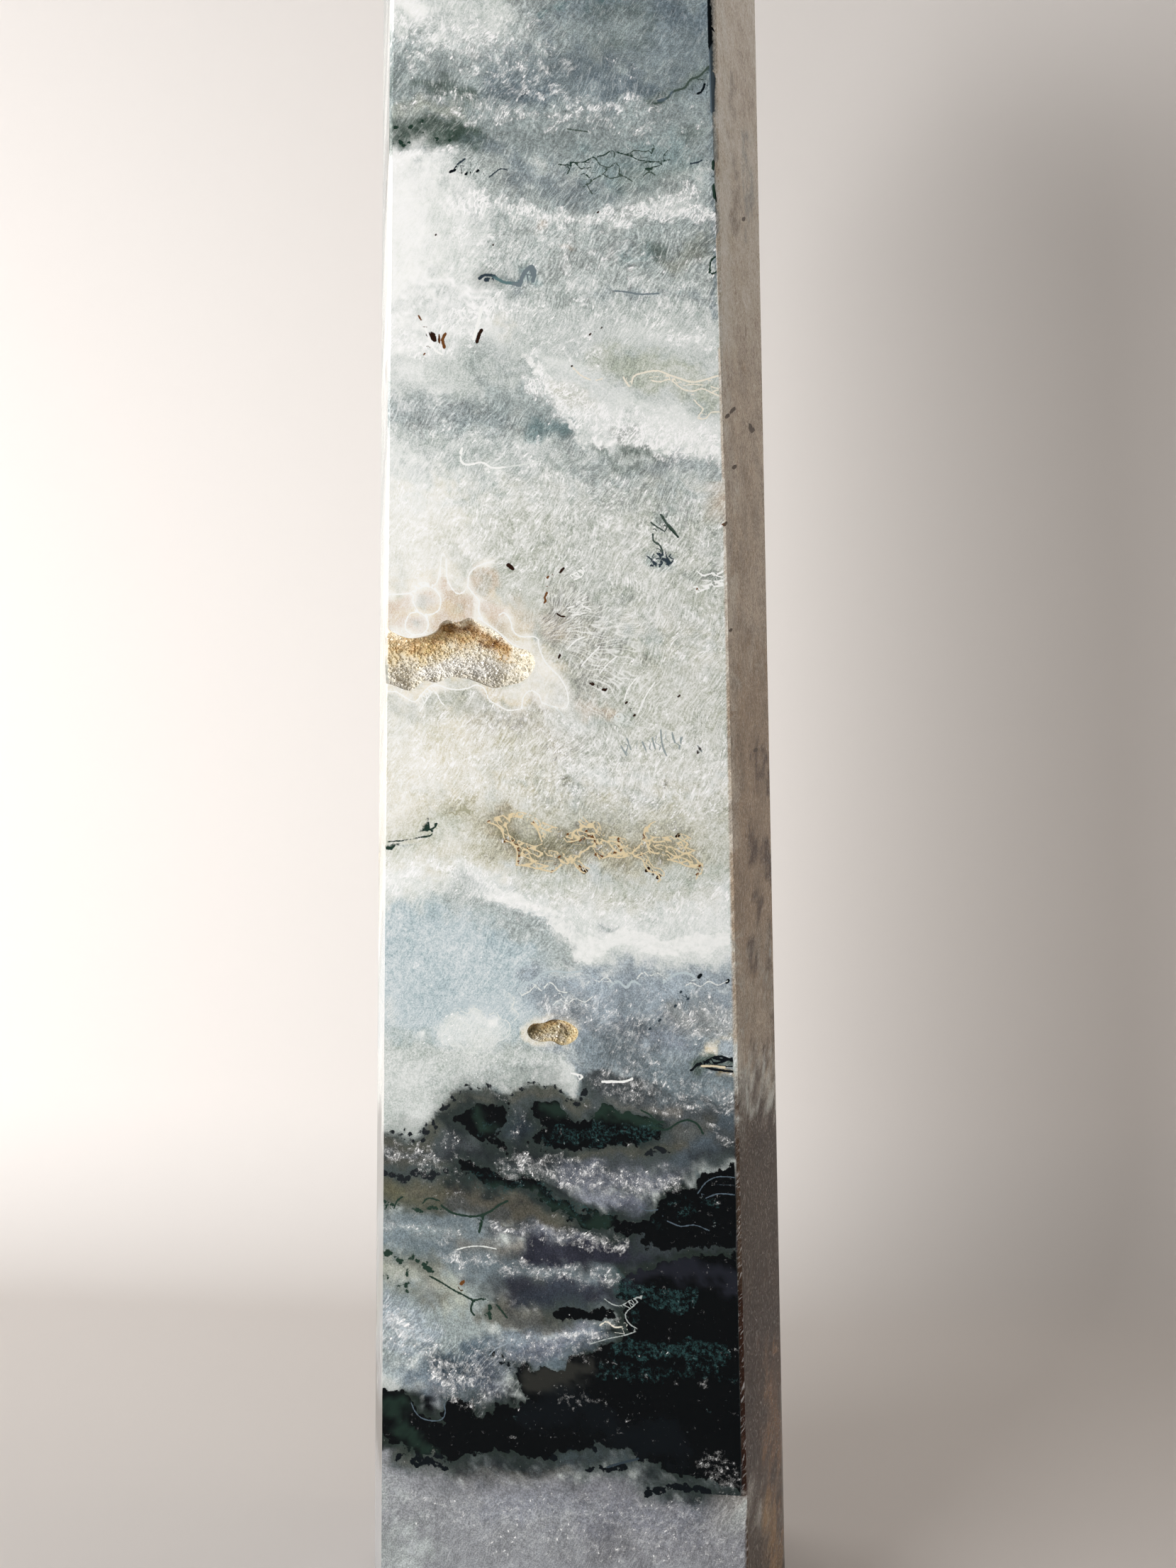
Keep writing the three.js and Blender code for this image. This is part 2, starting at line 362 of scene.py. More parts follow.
def hollow_wall(name, mouth, floor, depth, lift=0, lip=0, start=0):
    """A hollow's wall: a grid wrapped round the mouth and drawn in to the floor, steep at its upper side."""
    bpy.ops.object.select_all(action="DESELECT")
    bpy.ops.mesh.primitive_grid_add(x_subdivisions=AROUND, y_subdivisions=DOWN, size=2)
    piece = bpy.context.object
    piece.name = name
    flat = vertices_of(piece)
    round_share = (flat[:, 0] + 1) / 2
    down_share = start + (1 - start) * (flat[:, 1] + 1) / 2
    top = flat[:, 1] < 1 / DOWN - 1
    rim = resampled(rounded(mouth, closed=True), round_share, closed=True)
    reach, inward = nearest_on(rounded(floor), rim)
    steep = soft(inward[:, 1] / np.maximum(reach, 1), *STEEP_TURN)
    plan = NARROWING * down_share ** (1 + STEEP_PLAN * steep)
    deep = 1 - (1 - down_share) ** (1 + STEEP_DROP * steep)
    photo = rim + inward * plan[:, None]
    places = np.array(on_front(photo))
    lumps = np.array([noise.fractal(Vector(p) * LUMPS_PER_METRE, *LUMP_NOISE) for p in places])
    places[:, 1] += deep * depth - lift * deep + np.sin(math.pi * down_share) * lumps * LUMP_SHARE * depth
    places[top, 1] -= lip
    piece.data.vertices.foreach_set("co", places.ravel())
    bpy.ops.object.mode_set(mode="EDIT")
    bpy.ops.mesh.select_all(action="SELECT")
    bpy.ops.mesh.remove_doubles(threshold=MERGE)
    bpy.ops.mesh.select_all(action="SELECT")
    bpy.ops.mesh.fill_holes(sides=0)
    bpy.ops.mesh.select_all(action="SELECT")
    bpy.ops.mesh.normals_make_consistent(inside=False)
    bpy.ops.object.mode_set(mode="OBJECT")
    return piece


def cut_hollow(stone, mouth, floor, depth):
    """Cuts one hollow into the stone."""
    cutter = hollow_wall("hollow_cutter", mouth, floor, depth, lip=CUTTER_LIP)
    work_on(stone)
    cut = stone.modifiers.new("hollow", "BOOLEAN")
    cut.operation = "DIFFERENCE"
    cut.solver = "EXACT"
    cut.object = cutter
    bpy.ops.object.modifier_apply(modifier="hollow")
    bpy.data.objects.remove(cutter)


def crust_sheet(name, mouth, floor, depth):
    """The thin base of a druse, just inside a hollow's wall and clear of the stone's left side."""
    sheet = hollow_wall(name, mouth, floor, depth, lift=CRUST_LIFT, start=CRUST_START)
    corners = np.array([len(face.vertices) for face in sheet.data.polygons])
    heights = np.array([face.center.y for face in sheet.data.polygons])
    select_faces(sheet, (corners > DOWN) & (heights < heights.mean()))
    bpy.ops.object.mode_set(mode="EDIT")
    bpy.ops.mesh.delete(type="FACE")
    bpy.ops.mesh.select_all(action="SELECT")
    bpy.ops.mesh.flip_normals()
    bpy.ops.mesh.quads_convert_to_tris()
    bpy.ops.mesh.bisect(plane_co=LEFT_FRONT_NORMAL * (LEFT_FRONT_REACH - CRUST_CLEARANCE),
                        plane_no=LEFT_FRONT_NORMAL, clear_outer=True)
    bpy.ops.object.mode_set(mode="OBJECT")
    return sheet


def quartz_point():
    """One small six-sided quartz point, one unit tall."""
    bpy.ops.object.select_all(action="DESELECT")
    bpy.ops.mesh.primitive_cylinder_add(vertices=6, radius=POINT_RADIUS, depth=POINT_SHOULDER)
    point = bpy.context.object
    select_faces(point, face_normals(point)[:, 2] > 0.9)
    bpy.ops.object.mode_set(mode="EDIT")
    bpy.ops.mesh.extrude_region_move(TRANSFORM_OT_translate={"value": (0, 0, 1 - POINT_SHOULDER)})
    bpy.ops.mesh.merge(type="CENTER")
    bpy.ops.object.mode_set(mode="OBJECT")
    return point


def grown_points(sheet, count, length, seed):
    """Quartz points grown all over a sheet, as one mesh. They lean outward and keep below the face."""
    draw = np.random.default_rng(seed)
    sheet.data.calc_loop_triangles()
    corners = np.array([triangle.vertices[:] for triangle in sheet.data.loop_triangles])
    a, b, c = (vertices_of(sheet)[corners[:, i]] for i in range(3))
    facing = np.cross(b - a, c - a)
    area = np.linalg.norm(facing, axis=1)
    chosen = draw.choice(len(area), count, p=area / area.sum())
    along, up = draw.random((2, count, 1))
    over_half = along + up > 1
    along, up = np.where(over_half, 1 - along, along), np.where(over_half, 1 - up, up)
    sites = a[chosen] + along * (b - a)[chosen] + up * (c - a)[chosen]
    axis = facing[chosen] / area[chosen, None] + (0, -POINT_LEAN, 0)
    axis += draw.normal(0, POINT_JITTER, (count, 3))
    axis /= np.linalg.norm(axis, axis=1, keepdims=True)
    size = length * draw.lognormal(0, POINT_SPREAD, (count, 1))
    room = sites[:, 1:2] - (FRONT_FOOT_Y + sites[:, 2:] * FRONT_LEAN)
    size = np.minimum(size, np.maximum(room, POINT_LEAST))
    across = np.cross(axis, draw.normal(0, 1, (count, 3)))
    across /= np.linalg.norm(across, axis=1, keepdims=True)
    frames = np.stack([across, np.cross(axis, across), axis], 1) * size[:, :, None]
    point = quartz_point()
    shape = vertices_of(point)
    places = sites[:, None, :] + np.einsum("vi,nij->nvj", shape, frames)
    faces = [[v + n * len(shape) for v in face.vertices]
             for n in range(count) for face in point.data.polygons]
    bpy.data.objects.remove(point)
    mesh = bpy.data.meshes.new("quartz_points")
    mesh.from_pydata(places.reshape(-1, 3).tolist(), [], faces)
    points = bpy.data.objects.new("quartz_points", mesh)
    bpy.context.collection.objects.link(points)
    return points


def druse(name, node, mouth, floor, depth, count, length, seed, paint, material):
    """A hollow's crust of quartz points on a thin base, coloured by a paint function."""
    sheet = crust_sheet(name, mouth, floor, depth)
    points = grown_points(sheet, count, length, seed)
    work_on(sheet)
    wall = sheet.modifiers.new("wall", "SOLIDIFY")
    wall.thickness = CRUST_WALL
    bpy.ops.object.modifier_apply(modifier="wall")
    points.select_set(True)
    bpy.ops.object.join()
    canvas = Canvas(sheet, to_photo(vertices_of(sheet)))
    paint(canvas)
    canvas.store_tint(sheet)
    sheet.data.materials.clear()
    sheet.data.materials.append(material)
    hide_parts(node)
    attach(sheet, "root")
    return sheet


# The canvas: waves in mm with their reach in photo pixels make its brush strokes rough, and mottles break them up
PX_PER_MM = 8
ROUGH_WAVES = ((12, 12), (4, 9), (1.7, 6))
ROUGH_SEED = 7.3
MOTTLE = 4
MOTTLE_WAVE = 3.5 * MM
MOTTLE_NOISE = (0.5, 2.2, 4)
MOTTLE_SEEDS = (11, 23, 37)
FIELDS = {"FLOAT": "value", "FLOAT_VECTOR": "vector", "FLOAT_COLOR": "color"}

# Rims, lace loops, the burst of white rays and the crisp lines, in photo pixels
RIM_HALF = 4
RIM_FEATHER = 7
RIM_STRENGTH = 0.95
RIM_LINE = 0.9
LACE_STEP = 6
BURST_CENTRE = (640, 397)
BURST_REACHES = (60, 74, 84, 62, 92, 78, 96, 82, 66, 48)
RIGHT_STRIP = 1000
STRAND_REACH = (15, 9)
STRAND_MARGIN = 21
FAR_AWAY = 99.0
ABSENT = -0.3
ABSENT_GROWTH = -9.0
GROWTH_REACH = 8

# How the front's pattern runs on round the stone: it folds over the upright edges and drifts with depth
TIP = 360 * MM
FRONT_HALF = 32.65 * MM
FRONT_TAPER = 0.01375
SIDE_RATIO = 1.05
RIGHT_FRONT_TURN = math.radians(-18)
RIGHT_FRONT_REACH = 38.2 * MM
RIGHT_FRONT_LEAN = math.tan(math.radians(1.35))
ON_FACE = 0.35 * MM
DRIFT = 9 * MM
DRIFT_WAVE = 34 * MM
DRIFT_RISE = 20 * MM
DRIFT_SEED = 3
DIP = 0.5


def noise_at(places, wave, seed):
    """Smooth noise vectors, -1 to 1, with hills about a wave apart."""
    return np.array([noise.noise_vector(Vector(p) / wave + Vector((seed, seed, seed))) for p in places])


def looked_up(places):
    """Where in the photograph each vertex finds its pattern."""
    across, deep, up = places.T
    taper = np.clip((TIP - up) / (TIP - SHOULDER), 0, 1)
    half = (FRONT_HALF - FRONT_TAPER * up) * taper
    front = FRONT_FOOT_Y * taper + np.minimum(up, SHOULDER) * FRONT_LEAN * taper
    from_front = np.maximum(deep - front, 0)
    from_face = np.minimum(from_front, np.maximum(-front - deep, 0))
    on_side = np.abs(across) > half
    folded = np.where(on_side, np.sign(across) * (half - SIDE_RATIO * from_face), across)
    drift = noise_at(places, DRIFT_WAVE, DRIFT_SEED) * DRIFT * soft(from_front, 0, DRIFT_RISE)[:, None]
    folded = folded + drift[:, 0]
    height = up + drift[:, 2] + DIP * from_front
    plane = FRONT_FOOT_Y + height * FRONT_LEAN
    photo = to_photo(np.stack([folded, plane, height], 1))
    outward = across * math.cos(RIGHT_FRONT_TURN) + deep * math.sin(RIGHT_FRONT_TURN) + up * RIGHT_FRONT_LEAN
    on_right_front = (outward > RIGHT_FRONT_REACH - ON_FACE) & (up < SHOULDER)
    photo[on_right_front] = to_photo(places[on_right_front]) + (RIGHT_STRIP, 0)
    return photo


def close_by(places, path, margin):
    """The places inside a path's bounds and a margin round them."""
    return np.flatnonzero(((places > path.min(0) - margin) & (places < path.max(0) + margin)).all(1))


class Canvas:
    """The stone's skin. Each vertex has a place in photo pixels, and the colours and marks laid on it."""

    def __init__(self, stone, places):
        vertices = vertices_of(stone)
        self.places = places
        self.count = len(vertices)
        self.rough = places.copy()
        for seed, (wave, reach) in enumerate(ROUGH_WAVES):
            self.rough += noise_at(vertices, wave * MM, seed * ROUGH_SEED)[:, [0, 2]] * reach
        self.mottles = [np.array([noise.fractal(Vector(v) / MOTTLE_WAVE + Vector((seed,) * 3), *MOTTLE_NOISE)
                                  for v in vertices]) for seed in MOTTLE_SEEDS]
        self.strokes = 0
        self.tint = self.all_over("mist")
        self.moss_tint = self.all_over("night")
        self.amounts = {name: np.zeros(self.count) for name in ("flecks", "streaks", "grain", "fan", "flakes")}
        self.growths = {name: np.full(self.count, ABSENT_GROWTH) for name in ("moss", "bloom")}
        self.lines = {"strand": self.no_lines("night"), "thread": self.no_lines("snow")}

    def all_over(self, colour):
        return np.tile(shares_of(colour), (self.count, 1))

    def no_lines(self, colour):
        """One kind of thin line before any is drawn: the step to the line, its half width and its colour."""
        return {"reach": np.full(self.count, FAR_AWAY), "offset": np.zeros((self.count, 2)),
                "half": np.full(self.count, ABSENT), "tint": self.all_over(colour)}

    def covered(self, path, half, feather, closed, places):
        """The vertices that a brush stroke or a filled outline covers, and how fully."""
        path = np.array(path, float)
        near = close_by(places, path, half + feather)
        if closed:
            share = soft(depth_inside(path, places[near]), -feather, feather)
        else:
            share = soft(nearest_on(path, places[near])[0], half + feather, half - feather)
        self.strokes += 1
        mottle = self.mottles[self.strokes % len(self.mottles)][near]
        return near, np.clip(share + MOTTLE * mottle * share * (1 - share), 0, 1)

    def lay(self, tint, colour, strength, near, amount):
        share = (strength * amount)[:, None]
        tint[near] += (shares_of(colour) - tint[near]) * share

    def wash(self, colour, strength, half, feather, *path):
        """A soft stroke of colour along a path."""
        self.lay(self.tint, colour, strength, *self.covered(path, half, feather, False, self.rough))

    def patch(self, colour, strength, feather, *outline):
        """A filled outline of colour with a soft edge."""
        self.lay(self.tint, colour, strength, *self.covered(outline, 0, feather, True, self.rough))

    def stain(self, colour, strength, half, feather, *path):
        """A soft stroke of colour inside the moss."""
        self.lay(self.moss_tint, colour, strength, *self.covered(path, half, feather, False, self.rough))

    def mark(self, kind, amount, half, feather, *path):
        """Sets how dense one kind of marking is along a path."""
        near, share = self.covered(path, half, feather, False, self.rough)
        values = self.amounts[kind]
        values[near] += (amount - values[near]) * share

    def grow(self, colour, half, *path):
        """Moss along a path: a crisp dark mass, half a width on each side."""
        grown = self.spread("moss", path, half, False)
        self.moss_tint[grown] = shares_of(colour)

    def knobs(self, colour, half, *places):
        """Small round lumps of moss."""
        for across, down in places:
            self.grow(colour, half, (across, down), (across + 1, down))

    def grow_patch(self, colour, *outline):
        """Moss that fills an outline."""
        grown = self.spread("moss", outline, 0, True)
        self.moss_tint[grown] = shares_of(colour)

    def bloom(self, half, *path):
        """A white sugary mass along a path, with a crisp lobed edge."""
        self.spread("bloom", path, half, False)

    def spread(self, kind, path, half, closed):
        """Keeps how far inside a mass each vertex lies, in mm, and gives the vertices that changed."""
        path = np.array(path, float)
        near = close_by(self.rough, path, half + GROWTH_REACH * PX_PER_MM)
        if closed:
            inside = depth_inside(path, self.rough[near]) / PX_PER_MM
        else:
            inside = (half - nearest_on(path, self.rough[near])[0]) / PX_PER_MM
        growth = self.growths[kind]
        better = inside > growth[near]
        growth[near[better]] = inside[better]
        return near[better]

    def draw(self, kind, colour, half, *path):
        """A thin crisp line that follows a smoothed path; half is its half width in pixels."""
        line = self.lines[kind]
        curve = rounded(path, steps=3) if len(path) > 2 else np.array(path, float)
        near = close_by(self.places, curve, STRAND_MARGIN)
        reach, offset = nearest_on(curve, self.places[near])
        closer = reach - half < line["reach"][near]
        chosen = near[closer]
        line["reach"][chosen] = reach[closer] - half
        line["offset"][chosen] = offset[closer] / PX_PER_MM
        presence = soft(reach[closer] - half, *STRAND_REACH)
        line["half"][chosen] = ABSENT + (half / PX_PER_MM - ABSENT) * presence
        line["tint"][chosen] = shares_of(colour)

    def strand(self, colour, half, *path):
        self.draw("strand", colour, half, *path)

    def thread(self, colour, half, *path):
        self.draw("thread", colour, half, *path)

    def edge(self, *path):
        """A chalcedony rim: a soft white band with a fine crisp line on it."""
        near, share = self.covered(path, RIM_HALF, RIM_FEATHER, False, self.places)
        self.lay(self.tint, "snow", RIM_STRENGTH, near, share)
        self.thread("snow", RIM_LINE, *path)

    def specks(self, kind, colour, half, *places):
        for across, down in places:
            self.draw(kind, colour, half, (across, down), (across + half, down - half))

    def store(self, stone):
        """Writes what was painted as attributes that the material reads."""
        sets = {
            "tint": ("FLOAT_COLOR", self.coloured(self.tint)),
            "moss_tint": ("FLOAT_COLOR", self.coloured(self.moss_tint)),
            "frost": ("FLOAT_VECTOR", self.stacked("flecks", "streaks", "grain")),
            "growth": ("FLOAT_VECTOR", np.stack([*self.growths.values(), self.amounts["flakes"]], 1)),
            "fan": ("FLOAT", self.amounts["fan"]),
        }
        for kind, line in self.lines.items():
            sets[kind] = ("FLOAT_VECTOR", np.concatenate([line["offset"], line["half"][:, None]], 1))
            sets[kind + "_tint"] = ("FLOAT_COLOR", self.coloured(line["tint"]))
        for name, (kind, values) in sets.items():
            self.write(stone, name, kind, values)

    def store_tint(self, piece):
        """Writes just the colours."""
        self.write(piece, "tint", "FLOAT_COLOR", self.coloured(self.tint))

    def write(self, piece, name, kind, values):
        attribute = piece.data.attributes.new(name, kind, "POINT")
        attribute.data.foreach_set(FIELDS[kind], values.astype(np.float32).ravel())

    def stacked(self, *names):
        return np.stack([self.amounts[name] for name in names], 1)

    def coloured(self, shares):
        return np.concatenate([to_linear(shares), np.ones((self.count, 1))], 1)


# In the painting functions below, each pair of numbers is a place on the front face, in the photograph's pixels
# from its top left corner. What stands before the places in a call is:
#   wash, stain: colour, strength, half width and feather in pixels
#   patch: colour, strength and feather
#   mark: kind of marking, amount, half width and feather
#   grow, knobs, strand, thread: colour and half width
#   specks: kind of line, colour and half width
#   bloom: half width
# Later strokes lie over earlier ones, and a stroke's number picks its mottle, so their order is kept.


def paint_ground(p):
    """The broad tones of the stone from the top down."""
    p.wash("smoke", 1, 150, 30, (500, -300), (1090, -300), (1090, 70), (500, 70))
    p.wash("smoke", 1, 130, 20, (500, 100), (1090, 100))
    p.wash("haze", 1, 100, 40, (500, 350), (1090, 380))
    p.wash("mist", 1, 60, 40, (500, 500), (1090, 520))
    p.wash("frost", 0.8, 110, 60, (500, 730), (800, 730))
    p.wash("mist", 1, 140, 60, (800, 760), (1090, 900))
    p.wash("frost", 0.75, 90, 60, (500, 1060), (700, 1060))
    p.wash("mist", 0.9, 100, 50, (760, 1050), (1090, 1050))
    p.wash("frost", 0.8, 50, 40, (500, 1225), (660, 1230))
    p.wash("sky", 1, 100, 30, (500, 1370), (700, 1370))
    p.wash("dusk", 1, 80, 40, (860, 1450), (1090, 1430))
    p.wash("slate", 1, 30, 20, (700, 1540), (1090, 1540))
    p.wash("murk", 1, 40, 24, (500, 1640), (1090, 1610))
    p.wash("peat", 1, 30, 20, (500, 1680), (680, 1690), (800, 1720))
    p.wash("soot", 1, 50, 24, (860, 1750), (1090, 1730))
    p.wash("murk", 1, 40, 24, (700, 1790), (840, 1820))
    p.wash("slate", 1, 30, 26, (500, 1740), (680, 1760))
    p.wash("smoke", 1, 60, 36, (500, 1860), (640, 1870))
    p.wash("pitch", 1, 50, 30, (540, 2030), (820, 2010))
    p.wash("pitch", 1, 130, 30, (960, 1920), (1090, 1910))
    p.wash("smoke", 1, 90, 40, (500, 2180), (1090, 2200))
    p.wash("haze", 1, 100, 60, (500, 2330), (1090, 2330))


def paint_top(p):
    """Smoke and blue-grey veils at the top, with bright flecks on the left."""
    p.wash("haze", 0.8, 50, 50, (500, 30), (720, 30))
    p.wash("frost", 0.8, 36, 40, (520, 14), (640, 10), (690, 20))
    p.wash("snow", 0.95, 14, 12, (560, 4), (600, 16))
    p.wash("slate", 0.75, 70, 60, (850, 10), (1040, 60))
    p.wash("steel", 0.55, 16, 26, (930, 4), (1010, 20))
    p.wash("slate", 0.35, 40, 50, (900, 120), (1030, 130))
    p.wash("fern", 0.3, 12, 18, (838, 30), (905, 24))
    p.wash("fern", 0.35, 5, 12, (838, 58), (912, 56))
    p.wash("pond", 0.8, 2, 5, (757, 24), (776, 13), (800, 8), (830, 5), (870, 1))
    p.wash("slate", 0.65, 36, 36, (720, 112), (780, 110), (850, 120))
    p.wash("steel", 0.6, 14, 22, (700, 130), (770, 140))
    p.wash("fern", 0.6, 10, 16, (590, 122), (630, 128), (660, 146))
    p.wash("steel", 0.4, 10, 18, (830, 100), (862, 98), (915, 122), (870, 128))
    p.wash("fern", 0.45, 8, 12, (925, 145), (948, 130), (968, 115), (1000, 95))
    p.strand("fern", 1.6, (924, 146), (938, 142), (950, 129), (966, 124), (974, 112), (986, 108), (1002, 92))
    p.strand("steel", 1.5, (928, 142), (942, 138), (948, 130))
    p.strand("night", 1.6, (984, 132), (990, 129), (994, 119))
    p.wash("smoke", 0.6, 14, 20, (800, 50), (900, 40))
    p.mark("flecks", 0.6, 44, 40, (540, 50), (640, 50), (720, 80))
    p.mark("flecks", 0.4, 30, 30, (700, 95), (780, 90))
    p.mark("flecks", 0.45, 16, 24, (600, 150), (690, 160), (750, 120), (800, 130), (930, 150))
    p.mark("flecks", 0.35, 16, 20, (880, 90), (886, 104))
    p.mark("streaks", 0.55, 200, 60, (500, 40), (760, 60))
    p.mark("streaks", 0.3, 70, 40, (860, 50), (1030, 60))


def paint_smoke_band(p):
    """The dark tufted band on the left, the clear zone under it and the fine branching threads."""
    p.wash("smoke", 0.8, 30, 30, (700, 185), (1040, 190))
    p.wash("lichen", 0.35, 8, 12, (556, 160), (600, 158), (650, 168))
    p.wash("fern", 0.95, 18, 12, (530, 190), (560, 184), (600, 186), (640, 192), (662, 200))
    p.grow("moss", 1.5, (545, 180), (570, 176), (596, 180))
    p.grow("moss", 1.5, (552, 200), (580, 196), (612, 200), (640, 198))
    p.wash("moss", 0.5, 9, 8, (545, 190), (600, 190), (650, 198))
    p.wash("slate", 0.65, 8, 12, (660, 204), (700, 212), (726, 224))
    p.wash("snow", 0.8, 10, 12, (530, 224), (580, 222), (630, 226))
    p.wash("haze", 0.9, 16, 14, (640, 238), (718, 236))
    p.wash("slate", 0.7, 22, 28, (745, 250), (790, 268), (840, 262))
    p.wash("pond", 0.35, 24, 26, (840, 234), (900, 240), (950, 226))
    p.wash("fern", 0.25, 14, 20, (860, 262), (960, 240))
    p.wash("fern", 0.3, 5, 8, (962, 192), (986, 190))
    p.strand("moss", 0.9, (788, 232), (800, 233), (806, 229), (822, 229), (836, 222), (852, 219), (862, 213),
             (878, 217), (890, 220))
    p.strand("moss", 0.7, (890, 220), (902, 226), (922, 228), (934, 228), (946, 225))
    p.strand("moss", 0.8, (800, 246), (804, 238), (806, 231))
    p.strand("moss", 0.8, (820, 246), (826, 245), (832, 252))
    p.strand("fern", 0.8, (822, 264), (836, 254), (850, 246), (858, 238), (870, 228))
    p.strand("moss", 0.8, (921, 203), (922, 212), (918, 218))
    p.strand("moss", 0.7, (942, 212), (936, 220), (935, 228))
    p.strand("moss", 0.8, (910, 238), (922, 236), (934, 232))
    for path in (((840, 222), (846, 232), (856, 236)), ((868, 214), (866, 226), (874, 236), (872, 250)),
                 ((884, 219), (896, 212), (910, 214), (926, 208)), ((812, 230), (820, 238), (834, 236)),
                 ((836, 254), (830, 264), (836, 274)), ((850, 246), (862, 252), (878, 248), (892, 256))):
        p.strand("fern", 0.7, *path)
    p.strand("fern", 0.9, (908, 248), (916, 242), (924, 247))
    p.strand("ink", 1.2, (974, 231), (984, 229), (990, 226))
    p.strand("fern", 0.9, (800, 182), (816, 184), (830, 186))
    p.strand("ink", 1.3, (645, 232), (656, 224))
    p.strand("ink", 0.9, (690, 250), (700, 242), (706, 238), (716, 240))
    p.specks("strand", "night", 1.8, (635, 243), (640, 241), (657, 246), (673, 242))
    p.mark("flecks", 0.65, 14, 22, (660, 176), (740, 160), (830, 165), (920, 150))
    p.mark("flecks", 0.7, 8, 10, (540, 222), (640, 216))
    p.mark("flecks", 0.25, 20, 30, (860, 180), (1000, 190))
    p.mark("streaks", 0.35, 40, 30, (520, 200), (1040, 210))


def paint_white_band(p):
    """The band of strong white flecks, a painted white glow of light on the left side, and the green patches on
    the right.
    """
    # Painted light: the white glow where the light from the left washes out the left side
    p.wash("snow", 1, 60, 60, (500, 290), (570, 320), (580, 420))
    p.wash("snow", 0.9, 50, 50, (560, 250), (600, 300))
    p.wash("frost", 0.85, 50, 50, (650, 330), (670, 420))
    p.wash("smoke", 0.55, 22, 26, (700, 280), (760, 300), (860, 300), (1000, 270))
    p.wash("frost", 0.5, 12, 16, (690, 290), (760, 306), (830, 312), (880, 306), (930, 290), (1010, 306))
    p.wash("haze", 0.6, 40, 40, (730, 380), (860, 380))
    p.wash("smoke", 0.6, 30, 40, (880, 350), (1030, 350))
    p.wash("mist", 0.7, 26, 34, (740, 440), (1040, 436))
    p.wash("fern", 0.55, 9, 9, (914, 352), (928, 350), (934, 358))
    p.wash("pond", 0.45, 8, 12, (880, 364), (910, 362))
    p.wash("olive", 0.3, 12, 16, (955, 372), (1000, 340))
    p.wash("slate", 0.4, 5, 10, (842, 409), (900, 416), (1000, 420))
    p.strand("slate", 1.2, (866, 410), (884, 412), (904, 415), (930, 414))
    p.grow("ink", 3.5, (679, 389), (690, 387), (697, 391))
    p.strand("ink", 2.0, (676, 393), (684, 388), (698, 389))
    p.strand("pond", 2.2, (697, 391), (706, 396), (714, 399), (728, 399))
    p.strand("slate", 3.0, (726, 400), (733, 402), (736, 392), (742, 382), (750, 376), (754, 384), (752, 396))
    p.wash("pond", 0.5, 9, 9, (742, 390), (748, 394))
    p.wash("slate", 0.5, 8, 10, (712, 400), (728, 404))
    p.wash("rust", 0.35, 3, 5, (752, 329), (764, 324), (768, 319))
    p.wash("rust", 0.35, 3, 5, (792, 350), (806, 356))
    p.specks("strand", "bark", 1.2, (695, 346), (614, 332), (843, 300))
    p.mark("flecks", 0.95, 14, 16, (640, 290), (700, 286), (760, 304), (830, 314), (880, 308))
    p.mark("flecks", 0.95, 14, 14, (890, 306), (930, 286), (972, 262))
    p.mark("flecks", 0.9, 10, 12, (930, 300), (980, 300), (1012, 316))
    p.mark("flecks", 0.55, 26, 26, (650, 340), (720, 350), (800, 350), (830, 380))
    p.mark("flecks", 0.35, 30, 30, (850, 370), (1010, 380))
    p.mark("streaks", 0.7, 120, 60, (500, 350), (1040, 380))


def paint_pits(p):
    """The sparkling patch with three small open brown pits, and streaks that fan down from it."""
    p.wash("snow", 0.7, 26, 26, (560, 450), (620, 430), (680, 450))
    p.wash("haze", 0.45, 22, 20, (590, 430), (640, 446), (690, 430))
    p.wash("ivory", 0.5, 8, 12, (700, 452), (714, 470))
    for turn, reach in enumerate(BURST_REACHES):
        angle = math.pi * turn / len(BURST_REACHES)
        across, down = BURST_CENTRE
        tip = (across - reach * math.cos(angle), down + reach * math.sin(angle))
        p.wash("white", 0.9, 1, 4, BURST_CENTRE, tip)
    p.thread("snow", 2.2, (679, 436), (674, 458), (668, 478))
    p.thread("snow", 1.6, (600, 462), (612, 492), (624, 500))
    p.specks("strand", "bark", 2.6, (605, 473), (609, 475))
    p.strand("bark", 3.4, (604, 472), (610, 476), (613, 479))
    p.strand("rust", 2.2, (628, 471), (624, 480), (627, 490))
    p.strand("bark", 2.6, (679, 466), (676, 472), (673, 482))
    p.strand("rust", 1.2, (590, 444), (594, 452))
    p.specks("strand", "rust", 1.2, (598, 500), (556, 490))
    p.mark("flecks", 0.7, 26, 26, (560, 470), (600, 490), (690, 440), (750, 440))
    p.mark("flecks", 0.4, 30, 30, (780, 440), (1030, 440))


